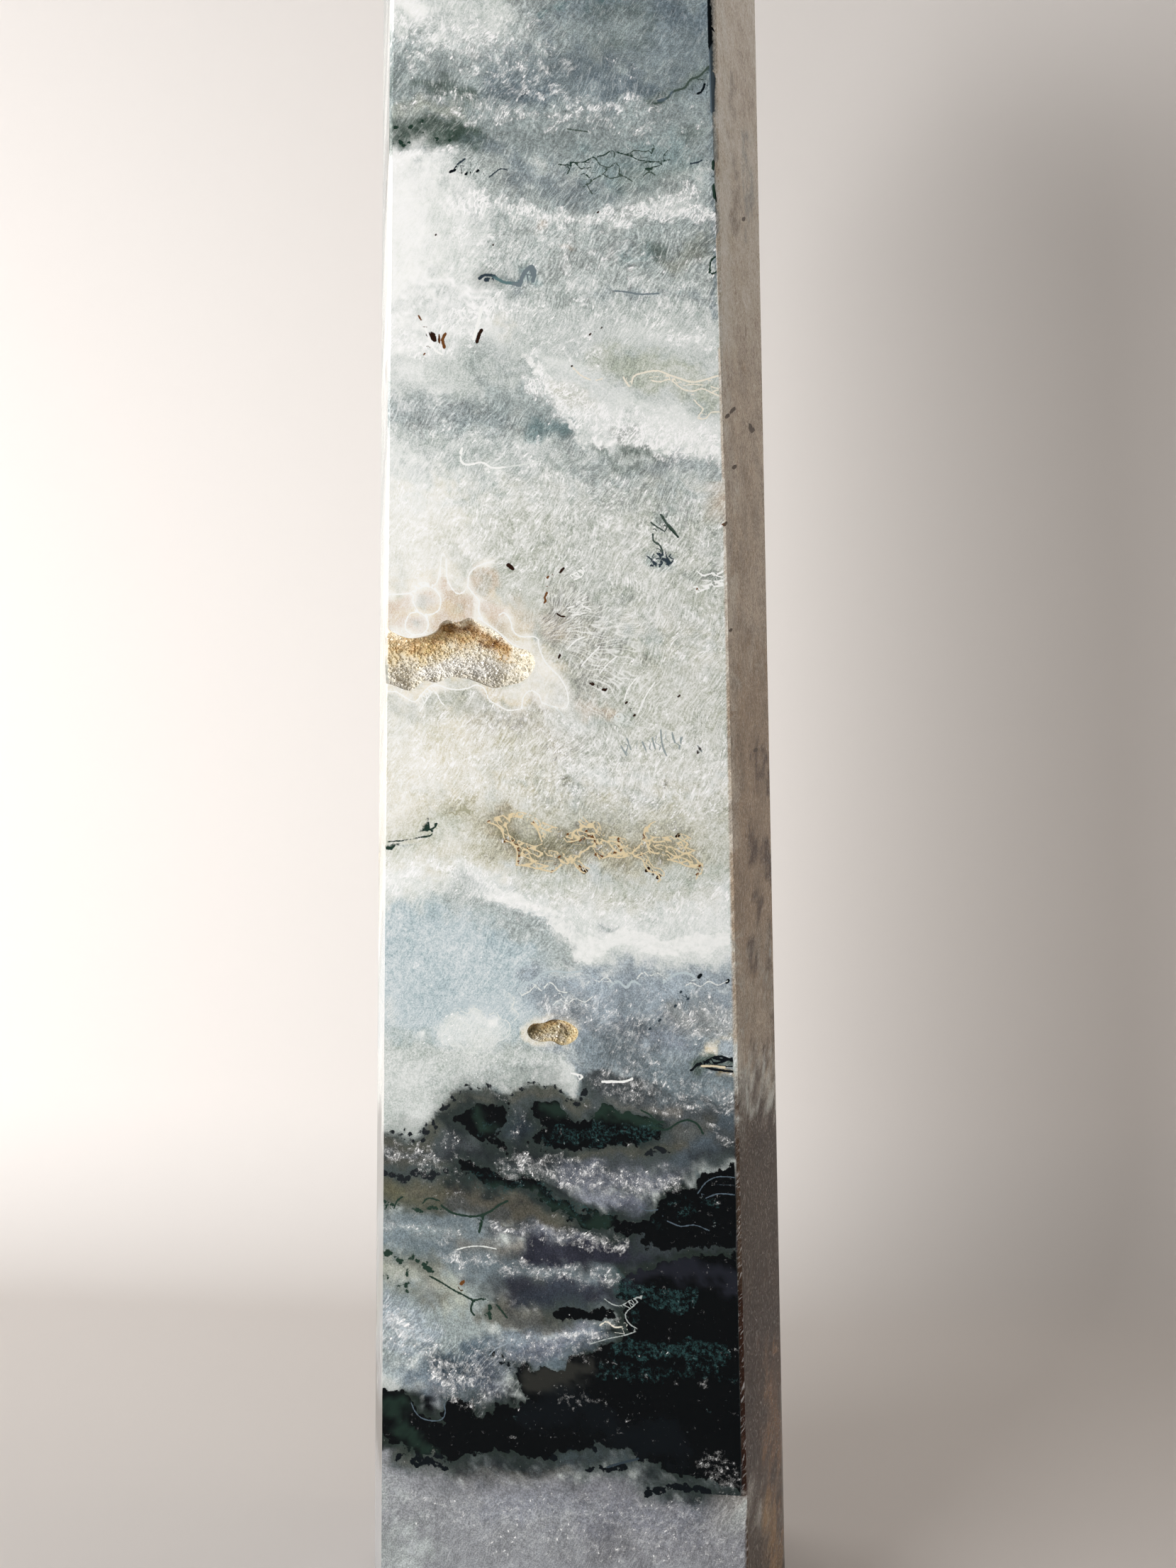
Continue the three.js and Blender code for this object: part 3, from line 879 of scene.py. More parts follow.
def paint_clear_zone(p):
    """The pale green-grey clear zone on the right, with its cream threads."""
    p.wash("mist", 0.9, 24, 24, (520, 520), (780, 510))
    p.wash("haze", 0.8, 18, 26, (680, 500), (750, 520), (770, 550))
    p.wash("dew", 0.95, 22, 20, (850, 512), (940, 534), (1010, 560), (1040, 540))
    p.wash("frost", 0.5, 14, 18, (880, 470), (960, 474), (1030, 480))
    p.thread("ivory", 1.3, (879, 532), (889, 546), (893, 532), (906, 526), (928, 523), (944, 529), (959, 534),
             (975, 539), (990, 537), (1019, 528))
    p.thread("ivory", 1.0, (918, 536), (930, 539), (944, 535), (954, 542), (963, 549), (978, 552), (990, 548),
             (1004, 554), (1018, 560))
    p.thread("ivory", 0.9, (979, 564), (986, 572), (992, 577), (984, 590), (996, 590), (1003, 582), (1018, 581))
    p.thread("ivory", 0.8, (1003, 545), (1012, 548), (1020, 544))
    p.thread("ivory", 0.9, (808, 518), (820, 530), (834, 536))
    p.thread("ivory", 0.8, (840, 537), (850, 534))
    p.specks("strand", "bark", 1.2, (832, 472), (848, 463), (806, 517))
    p.mark("flecks", 0.45, 26, 26, (720, 470), (800, 490), (830, 500))
    p.mark("flecks", 0.6, 16, 18, (930, 470), (1020, 480))
    p.mark("streaks", 0.3, 40, 40, (560, 520), (1040, 540))


def paint_diagonal(p):
    """The smoky teal band on the left, and the sugary white boundary that runs down to the right."""
    p.wash("smoke", 0.8, 24, 26, (520, 578), (620, 580), (720, 600))
    p.wash("slate", 0.35, 12, 16, (560, 580), (600, 570), (650, 584), (700, 600))
    p.wash("smoke", 0.8, 22, 24, (700, 560), (760, 580), (800, 612))
    p.wash("pond", 0.65, 12, 14, (752, 606), (780, 604), (808, 606))
    p.patch("frost", 0.95, 9, (742, 492), (772, 500), (830, 516), (868, 548), (930, 570), (1000, 590),
            (1060, 586), (1060, 640), (990, 640), (900, 620), (822, 638), (812, 606), (790, 566), (762, 530))
    p.wash("lichen", 0.4, 12, 14, (780, 555), (830, 570))
    p.wash("fern", 0.6, 8, 8, (872, 610), (888, 606))
    p.wash("fern", 0.6, 10, 10, (884, 632), (905, 628), (924, 640))
    p.wash("fern", 0.5, 9, 10, (850, 640), (870, 655), (900, 660))
    p.wash("slate", 0.5, 10, 12, (920, 655), (950, 640), (1000, 668), (1030, 664))
    p.wash("smoke", 0.6, 24, 26, (840, 670), (900, 690), (960, 690))
    p.wash("haze", 0.6, 22, 30, (600, 636), (700, 640), (780, 650))
    p.wash("frost", 0.8, 12, 14, (540, 628), (580, 640))
    p.bloom(4, (744, 500), (762, 530), (782, 562), (802, 592), (814, 616), (824, 634))
    p.bloom(3, (830, 630), (862, 622), (900, 618), (940, 628), (990, 638), (1020, 646))
    p.mark("grain", 0.75, 24, 16, (760, 540), (800, 570), (850, 590), (930, 600), (1030, 620))
    p.mark("flecks", 0.75, 24, 16, (760, 540), (800, 570), (850, 600), (930, 610), (1030, 640))
    p.mark("flecks", 0.35, 26, 20, (540, 600), (680, 620), (760, 650))
    p.mark("streaks", 0.8, 26, 20, (530, 580), (720, 600))
    p.mark("streaks", 0.5, 60, 40, (560, 640), (1000, 680))


def paint_frost_field(p):
    """The pale field over the main hollow: fine flecks, green tufts and white lines on the right."""
    p.wash("snow", 0.55, 60, 60, (500, 700), (580, 720), (600, 800))
    p.wash("haze", 0.6, 16, 26, (850, 700), (920, 716), (990, 720))
    p.wash("haze", 0.7, 30, 40, (930, 760), (1030, 770))
    p.thread("snow", 1.4, (648, 640), (652, 632), (650, 650), (660, 656), (680, 652), (694, 660), (712, 659))
    p.thread("frost", 1.0, (712, 659), (740, 655), (764, 650))
    p.wash("pond", 0.35, 10, 12, (936, 735), (944, 720))
    p.strand("fern", 1.6, (932, 726), (940, 738), (950, 748), (957, 758))
    p.strand("moss", 1.5, (934, 728), (944, 744), (956, 757))
    p.strand("fern", 1.2, (918, 737), (928, 744), (938, 750))
    p.strand("fern", 1.3, (921, 753), (922, 764), (930, 768), (934, 776))
    p.wash("pond", 0.45, 10, 10, (922, 790), (942, 790))
    for path in (((912, 784), (920, 790), (924, 798)), ((926, 780), (932, 786), (930, 796)),
                 ((934, 776), (936, 788), (944, 796)), ((938, 790), (930, 800)), ((946, 782), (940, 792)),
                 ((950, 790), (944, 798)), ((918, 798), (926, 792))):
        p.strand("ink", 1.2, *path)
    p.wash("fern", 0.4, 8, 10, (980, 812), (1000, 808), (1016, 822))
    for path in (((978, 828), (996, 826), (1014, 820), (1024, 818)), ((982, 836), (1004, 828), (1022, 826)),
                 ((984, 806), (992, 812), (1006, 808)), ((1008, 812), (1020, 806), (1026, 800))):
        p.thread("snow", 1.2, *path)
    p.specks("strand", "rust", 1.3, (983, 831), (1031, 806), (1028, 824), (1018, 740), (1024, 730), (1016, 680))
    p.strand("bark", 3.0, (717, 797), (723, 802))
    p.strand("bark", 1.8, (790, 807), (795, 802))
    p.specks("strand", "rust", 1.6, (772, 815), (770, 838), (768, 843), (768, 850))
    p.mark("flecks", 0.5, 80, 60, (520, 720), (800, 740))
    p.mark("flecks", 0.45, 60, 40, (860, 740), (1030, 760))
    p.mark("flecks", 0.7, 20, 20, (1000, 870), (1028, 880))
    p.mark("flecks", 0.6, 20, 20, (880, 820), (930, 830), (900, 800))
    p.mark("streaks", 0.75, 90, 50, (520, 730), (1040, 760))


def paint_main_hollow(p):
    """The chalcedony discs, the white scalloped rim and the warm stain round the main hollow."""
    p.wash("ivory", 0.7, 30, 36, (520, 850), (620, 850), (700, 890))
    p.patch("blush", 0.9, 8, (541, 860), (560, 845), (590, 830), (612, 828), (622, 812), (632, 822), (646, 842),
            (660, 830), (675, 842), (677, 866), (662, 874), (630, 884), (600, 902), (560, 892), (541, 880))
    p.patch("shell", 0.9, 5, (662, 812), (676, 797), (694, 792), (708, 802), (711, 822), (702, 834),
            (684, 840), (668, 834))
    p.wash("oat", 0.5, 10, 9, (683, 814), (690, 820))
    p.wash("bone", 0.9, 14, 6, (600, 847), (604, 852))
    p.wash("pale_lilac", 0.5, 7, 6, (600, 850), (604, 852))
    p.wash("bone", 0.9, 10, 5, (587, 878), (592, 882))
    p.wash("pale_lilac", 0.5, 5, 4, (588, 878), (592, 880))
    p.wash("flax", 0.5, 9, 9, (640, 838), (664, 846), (672, 856))
    p.wash("ivory", 0.9, 22, 20, (700, 860), (740, 900), (764, 950), (740, 990))
    p.wash("mist", 0.5, 14, 16, (745, 950), (770, 970), (780, 985))
    p.wash("fog", 0.7, 9, 6, (748, 984), (756, 992), (762, 1000))
    p.wash("chalk", 0.6, 6, 6, (709, 872), (713, 880), (716, 890))
    p.wash("linen", 0.5, 20, 20, (730, 860), (750, 880))
    p.wash("haze", 0.6, 14, 14, (580, 990), (700, 996), (740, 1010))
    rim = ((541, 848), (550, 840), (566, 838), (580, 836), (588, 824), (600, 822), (612, 826), (619, 814),
           (622, 790), (625, 780), (630, 792), (630, 812), (636, 828), (646, 838), (655, 834), (660, 826))
    p.edge(*rim)
    p.edge((660, 826), (663, 808), (676, 798), (694, 792))
    p.edge((660, 828), (668, 838), (676, 848), (675, 862), (680, 872))
    p.edge((582, 848), (586, 834), (600, 827), (614, 832), (622, 846), (618, 862), (604, 867), (590, 862),
           (582, 848))
    p.edge((572, 878), (578, 866), (590, 864), (602, 872), (604, 884), (596, 894), (582, 895), (572, 888),
           (572, 878))
    p.edge((541, 880), (556, 888), (566, 896), (590, 902), (606, 898))
    p.edge((704, 868), (712, 864), (720, 876), (724, 890), (734, 898), (757, 899), (760, 912), (768, 932),
           (778, 944), (790, 956), (799, 972), (802, 990), (796, 1000), (780, 996), (764, 992))
    p.edge((736, 1000), (738, 984), (748, 974), (760, 980), (764, 992))
    p.edge((674, 872), (690, 882), (706, 894), (722, 908), (738, 916))
    lower = ((541, 970), (556, 974), (572, 984), (586, 990), (596, 978), (610, 966), (622, 968), (640, 973),
             (660, 971), (672, 966), (684, 972), (690, 988), (702, 994), (716, 1002), (736, 1000))
    p.edge(*lower)
    p.edge((592, 1004), (600, 990), (612, 974), (622, 990), (628, 996))
    for down in (12, 22):
        p.wash("haze", 0.5, 3, 4, *[(across, up + down) for across, up in lower])
    p.thread("frost", 0.8, (764, 992), (776, 996), (790, 1004), (796, 1014))
    p.wash("ivory", 0.8, 7, 6, *[(across, up - 9) for across, up in lower])
    p.patch("snow", 0.8, 5, (716, 900), (734, 904), (757, 906), (768, 936), (786, 958), (795, 984), (780, 990),
            (764, 986), (748, 972), (736, 984), (716, 992), (700, 980), (738, 962), (740, 936))
    for across, down, half in ((600, 850, 9), (588, 880, 7), (686, 818, 13), (648, 858, 6)):
        p.wash("mist", 0.6, half, 4, (across, down), (across + 1, down))
    p.wash("blush", 0.8, 8, 8, (690, 846), (704, 862))
    p.wash("sand", 0.3, 5, 6, (556, 866), (572, 862), (640, 860), (652, 872))
    p.mark("streaks", 0.3, 50, 30, (560, 880), (720, 930))


def paint_spray(p):
    """The spray of fine needles to the right of the main hollow, with brown specks."""
    p.wash("haze", 0.5, 30, 40, (820, 860), (880, 900), (940, 880))
    p.wash("putty", 0.6, 12, 14, (776, 868), (792, 890))
    p.wash("husk", 0.5, 5, 6, (778, 890), (790, 888))
    p.wash("haze", 0.6, 12, 14, (818, 930), (828, 950), (832, 980))
    p.wash("blush", 0.7, 12, 14, (826, 996), (860, 1000))
    p.wash("sky", 0.5, 9, 12, (800, 1020), (860, 1014), (890, 1010))
    p.thread("frost", 1.2, (866, 1012), (874, 1006), (880, 1014), (872, 1018), (866, 1012))
    p.strand("bark", 1.3, (786, 866), (790, 869), (797, 870))
    p.strand("bark", 1.6, (788, 928), (790, 924))
    p.specks("strand", "bark", 1.6, (833, 964), (836, 967), (850, 973), (854, 974), (883, 992), (894, 1010),
             (957, 983), (986, 1058), (984, 1062))
    for path in (((800, 858), (816, 854), (834, 860)), ((812, 852), (822, 846), (828, 842)),
                 ((806, 868), (820, 866), (834, 862)), ((800, 916), (812, 904), (826, 898)),
                 ((804, 812), (816, 806), (824, 800), (822, 812), (810, 818)),
                 ((820, 940), (832, 926), (846, 912)), ((846, 950), (858, 936), (870, 926)),
                 ((880, 990), (886, 972), (898, 956)), ((900, 1006), (912, 980), (924, 962))):
        p.thread("snow", 0.9, *path)
    p.wash("taupe", 0.22, 30, 26, (790, 850), (820, 890), (830, 950))
    p.mark("fan", 0.8, 40, 40, (800, 850), (840, 900), (860, 960))
    p.mark("fan", 0.45, 50, 40, (800, 1040), (860, 1050), (960, 1040))
    p.mark("flecks", 0.4, 60, 50, (900, 850), (1000, 920))
    p.mark("grain", 0.3, 60, 50, (960, 880), (1030, 960))
    p.mark("streaks", 0.8, 120, 50, (880, 880), (1030, 1000))


def paint_warm_field(p):
    """The pale warm field under the main hollow."""
    p.wash("cream", 0.16, 110, 60, (500, 800), (1090, 800))
    p.wash("cream", 0.2, 110, 60, (500, 1010), (1090, 1010))
    p.wash("cream", 0.3, 60, 50, (500, 1170), (1090, 1170))
    p.wash("ivory", 0.4, 60, 50, (500, 1080), (640, 1080))
    p.wash("sand", 0.15, 30, 40, (640, 1030), (760, 1060))
    p.wash("taupe", 0.2, 20, 30, (680, 1010), (800, 1040))
    p.wash("olive", 0.9, 3.5, 4, (803, 1104), (808, 1108), (804, 1112))
    p.wash("olive", 0.8, 3, 4, (935, 1112), (940, 1114))
    p.wash("frost", 0.8, 6, 6, (838, 1094), (850, 1098), (848, 1108), (862, 1108))
    p.wash("smoke", 0.4, 6, 8, (820, 1120), (836, 1122))
    p.wash("smoke", 0.4, 8, 10, (900, 1120), (920, 1130))
    for path in (((920, 1040), (924, 1056)), ((932, 1030), (934, 1050), (940, 1066)), ((948, 1034), (952, 1048)),
                 ((906, 1046), (912, 1060)), ((962, 1040), (958, 1056)), ((884, 1040), (890, 1058)),
                 ((876, 1052), (884, 1066)), ((984, 1052), (990, 1060))):
        p.strand("smoke", 1.2, *path)
    p.mark("grain", 0.55, 60, 40, (520, 1080), (760, 1100), (1030, 1110))
    p.mark("flecks", 0.5, 60, 40, (640, 1040), (900, 1080), (1030, 1090))
    p.mark("streaks", 0.8, 70, 50, (520, 1060), (1040, 1080))


def paint_lace(p):
    """The tan lace with brown knots in its olive-grey halo, and the dark green filament on the left."""
    p.wash("lichen", 0.6, 26, 34, (700, 1180), (780, 1190), (860, 1190), (960, 1200))
    p.wash("khaki", 0.8, 18, 18, (700, 1160), (730, 1196), (780, 1200), (830, 1190), (880, 1200), (960, 1200))
    p.wash("olive", 0.45, 10, 12, (716, 1180), (760, 1190), (800, 1200), (850, 1190))
    p.wash("olive", 0.3, 6, 10, (900, 1216), (950, 1206), (980, 1226))
    p.wash("lichen", 0.45, 10, 16, (640, 1140), (660, 1142))
    p.wash("dew", 0.6, 14, 20, (540, 1200), (600, 1180), (640, 1160))
    lace = (((688, 1160), (700, 1164), (708, 1172), (712, 1186)),
            ((690, 1160), (706, 1156), (724, 1152), (738, 1154)),
            ((708, 1172), (716, 1160), (726, 1152)), ((748, 1160), (756, 1164), (768, 1170), (780, 1174)),
            ((752, 1162), (760, 1174), (764, 1186)), ((712, 1186), (724, 1190), (730, 1204), (728, 1220)),
            ((722, 1192), (736, 1196), (748, 1200), (760, 1196)),
            ((728, 1220), (744, 1222), (760, 1226), (780, 1230)),
            ((736, 1206), (750, 1212), (766, 1206), (780, 1208)),
            ((780, 1230), (790, 1222), (800, 1212), (812, 1214)),
            ((788, 1210), (796, 1220), (812, 1210), (828, 1198)),
            ((796, 1182), (808, 1176), (820, 1170), (834, 1164)),
            ((800, 1188), (812, 1186), (826, 1182), (840, 1184)),
            ((816, 1158), (826, 1168), (838, 1166), (842, 1178)),
            ((828, 1198), (842, 1192), (858, 1186), (876, 1190)),
            ((812, 1206), (810, 1218), (818, 1228), (826, 1232)),
            ((842, 1204), (846, 1212), (858, 1208), (872, 1210)),
            ((858, 1186), (864, 1196), (874, 1202), (880, 1198)),
            ((872, 1210), (884, 1208), (894, 1202), (900, 1194)),
            ((894, 1202), (904, 1190), (908, 1178), (910, 1168)),
            ((908, 1170), (916, 1166), (920, 1164)), ((912, 1186), (926, 1188), (940, 1186), (956, 1182)),
            ((912, 1186), (916, 1200), (928, 1204), (936, 1200)),
            ((894, 1208), (906, 1212), (910, 1222), (916, 1230)),
            ((916, 1230), (926, 1232), (932, 1240), (928, 1244)), ((956, 1182), (964, 1186), (970, 1190)),
            ((940, 1200), (952, 1208), (968, 1212), (978, 1220)), ((950, 1196), (962, 1202), (976, 1206)),
            ((940, 1212), (956, 1216), (970, 1222), (986, 1224)), ((986, 1224), (984, 1236), (982, 1240)))
    for path in lace:
        p.thread("sand", 1.0, *path)
        p.thread("sand", 0.7, *[(across + LACE_STEP, down - LACE_STEP) for across, down in path[::-1]])
    p.specks("strand", "rust", 1.7, (726, 1152), (751, 1162), (712, 1187), (723, 1188), (730, 1197),
             (732, 1208), (729, 1220), (744, 1198), (778, 1230), (788, 1210), (800, 1178), (806, 1188),
             (818, 1186), (826, 1174), (834, 1182), (842, 1190), (840, 1206), (848, 1210), (872, 1194),
             (866, 1204), (876, 1200), (872, 1184), (826, 1230), (816, 1224), (907, 1184), (908, 1176),
             (904, 1206), (986, 1222), (983, 1234), (688, 1160))
    p.specks("strand", "bark", 2.6, (955, 1180), (912, 1228), (928, 1238), (824, 1231))
    p.strand("moss", 1.2, (538, 1203), (552, 1200), (558, 1190), (566, 1180), (580, 1173), (600, 1172),
             (612, 1168), (617, 1162), (612, 1163))
    p.strand("moss", 1.0, (556, 1188), (566, 1192), (576, 1186), (588, 1182), (600, 1184), (610, 1176))
    p.strand("moss", 0.8, (578, 1174), (578, 1184))
    p.strand("moss", 0.8, (590, 1173), (592, 1182))
    p.wash("slate", 0.4, 2, 4, (566, 1186), (596, 1178))
    for path in (((634, 1147), (646, 1144), (656, 1142), (668, 1146)), ((640, 1152), (648, 1144), (650, 1136)),
                 ((652, 1142), (658, 1134)), ((656, 1143), (664, 1150))):
        p.strand("lichen", 1.1, *path)
    p.mark("flecks", 0.3, 20, 20, (700, 1190), (960, 1200))
    p.mark("flecks", 0.6, 24, 24, (540, 1240), (620, 1220), (680, 1240))
    p.mark("grain", 0.5, 24, 24, (540, 1240), (660, 1240), (700, 1270))
    p.mark("streaks", 0.5, 60, 30, (540, 1230), (1040, 1230))


def paint_white_cloud(p):
    """The white sugary cloud and the blue-grey clear zone beside it."""
    p.wash("dew", 0.7, 14, 24, (740, 1250), (860, 1262), (1000, 1240))
    p.patch("frost", 0.95, 22, (690, 1258), (740, 1272), (820, 1282), (900, 1290), (980, 1270), (1030, 1256),
            (1060, 1250), (1060, 1366), (985, 1370), (930, 1362), (890, 1350), (850, 1366), (826, 1376),
            (812, 1350), (800, 1330), (780, 1302), (740, 1284))
    p.wash("cream", 0.16, 14, 20, (780, 1270), (1000, 1270))
    p.bloom(10, (700, 1262), (740, 1280), (790, 1306), (814, 1336), (830, 1352))
    p.bloom(12, (826, 1346), (850, 1334), (890, 1322), (930, 1332), (985, 1336), (1040, 1326))
    p.bloom(2.5, (546, 1250), (566, 1238), (590, 1230), (616, 1222), (650, 1228))
    p.wash("frost", 0.7, 14, 18, (540, 1250), (620, 1240), (700, 1262))
    p.wash("sky", 0.85, 34, 30, (540, 1330), (620, 1310), (700, 1330))
    p.wash("haze", 0.8, 20, 22, (640, 1260), (720, 1300), (780, 1340), (800, 1360))
    p.wash("smoke", 0.35, 12, 18, (690, 1286), (750, 1320), (790, 1350))
    p.wash("mist", 0.6, 40, 40, (530, 1460), (600, 1500))
    p.wash("smoke", 0.6, 4, 4, (846, 1310), (862, 1318), (870, 1316))
    p.mark("grain", 0.55, 30, 20, (740, 1280), (860, 1300), (1030, 1300))
    p.mark("flecks", 0.5, 30, 20, (720, 1260), (860, 1280), (1030, 1270))
    p.mark("flecks", 0.25, 40, 40, (560, 1330), (700, 1360))
    p.mark("streaks", 0.35, 60, 40, (540, 1340), (720, 1360))
    p.mark("streaks", 0.5, 40, 20, (760, 1300), (1040, 1310))


def paint_scallops(p):
    """The scalloped blue-white outlines, the pale cluster, the golden hollow's setting and the chipped flake."""
    p.wash("dusk", 0.8, 26, 24, (760, 1400), (850, 1400), (1040, 1400))
    p.wash("slate", 0.6, 30, 36, (880, 1450), (960, 1440), (1000, 1460))
    p.wash("slate", 0.75, 26, 30, (830, 1500), (900, 1500), (970, 1520))
    p.wash("violet", 0.4, 16, 22, (890, 1440), (940, 1460))
    p.wash("dusk", 0.5, 16, 20, (850, 1385), (910, 1395))
    p.patch("frost", 0.75, 9, (626, 1450), (640, 1426), (668, 1422), (690, 1430), (714, 1440), (724, 1460),
            (700, 1478), (668, 1490), (646, 1484), (630, 1470))
    p.wash("haze", 0.6, 24, 20, (640, 1510), (740, 1500), (780, 1520))
    outline = ((632, 1424), (644, 1420), (660, 1416), (674, 1414), (690, 1418), (706, 1416), (718, 1408),
               (730, 1400), (738, 1388), (752, 1384), (764, 1374), (780, 1370), (800, 1372), (822, 1370))
    p.wash("sky", 0.5, 1, 4, *outline)
    p.thread("sky", 1.1, *outline)
    p.thread("frost", 0.8, (736, 1404), (748, 1398), (756, 1390), (764, 1398), (774, 1386), (782, 1390),
             (788, 1398), (800, 1400))
    p.thread("sky", 1.4, (860, 1392), (872, 1384), (884, 1394), (892, 1384), (904, 1390))
    p.thread("sky", 1.6, (936, 1386), (950, 1376), (966, 1372), (980, 1378))
    p.wash("snow", 0.7, 4, 4, (594, 1454), (598, 1456))
    p.wash("snow", 0.7, 4, 4, (700, 1436), (702, 1440))
    p.patch("frost", 0.9, 4, (790, 1500), (804, 1504), (812, 1520), (816, 1540), (810, 1562), (803, 1552),
            (798, 1534), (788, 1520))
    p.thread("snow", 1.4, (816, 1524), (822, 1518), (806, 1514))
    p.thread("snow", 1.8, (850, 1526), (864, 1526), (880, 1526), (892, 1522))
    p.patch("ivory", 0.95, 3, (984, 1492), (990, 1480), (1000, 1475), (1010, 1480), (1008, 1490), (996, 1494))
    p.wash("cream", 0.6, 8, 8, (1000, 1480), (1030, 1466), (1044, 1450))
    p.wash("fern", 0.9, 7, 6, (976, 1506), (1000, 1500), (1036, 1500))
    for path in (((975, 1510), (990, 1498), (1010, 1500), (1036, 1492)),
                 ((985, 1500), (1004, 1508), (1036, 1512)), ((998, 1496), (1016, 1490), (1036, 1498))):
        p.strand("night", 1.8, *path)
    p.thread("cream", 1.5, (990, 1504), (1006, 1504), (1022, 1506))
    p.wash("honey", 0.6, 4, 5, (1014, 1517), (1036, 1522))
    p.specks("strand", "night", 2.4, (986, 1378), (1025, 1386))
    p.specks("strand", "ink", 1.6, (960, 1400), (970, 1410), (952, 1420), (930, 1440), (916, 1452))
    p.wash("ivory", 0.8, 5, 5, (742, 1450), (756, 1440), (780, 1434), (810, 1440), (820, 1460), (806, 1478),
           (770, 1476), (744, 1462))
    p.wash("murk", 0.4, 22, 30, (820, 1440), (900, 1460), (880, 1500))
    p.wash("taupe", 0.3, 20, 24, (960, 1440), (1030, 1440))
    p.mark("grain", 0.44, 30, 22, (780, 1420), (860, 1440), (900, 1480))
    p.mark("grain", 0.46, 30, 22, (960, 1440), (1030, 1440))
    p.mark("flecks", 0.35, 40, 30, (800, 1420), (900, 1440), (1020, 1440))
    p.mark("grain", 0.5, 16, 14, (640, 1450), (700, 1456))
    p.mark("grain", 0.35, 40, 30, (560, 1500), (760, 1500))
    p.mark("streaks", 0.3, 70, 40, (560, 1450), (1040, 1460))
    for lobe in (((628, 1458), (632, 1444), (642, 1438), (648, 1426), (660, 1430), (668, 1422), (680, 1428)),
                 ((690, 1432), (700, 1428), (706, 1438), (716, 1440), (720, 1452), (714, 1464), (704, 1468)),
                 ((630, 1466), (638, 1476), (650, 1474), (656, 1486), (670, 1484), (680, 1492), (694, 1482)),
                 ((648, 1448), (656, 1442), (664, 1450), (672, 1444), (680, 1454), (690, 1450), (694, 1460)),
                 ((716, 1400), (726, 1410), (722, 1422), (732, 1430), (726, 1440)),
                 ((828, 1388), (836, 1380), (844, 1386), (854, 1378), (862, 1384)),
                 ((900, 1378), (908, 1371), (916, 1378), (926, 1372), (936, 1378)),
                 ((966, 1392), (976, 1386), (988, 1392), (1000, 1384), (1012, 1390), (1026, 1384)),
                 ((780, 1418), (790, 1410), (800, 1416), (812, 1408), (824, 1414), (836, 1406))):
        p.wash("frost", 0.5, 1, 4, *lobe)
        p.thread("frost", 0.7, *lobe)


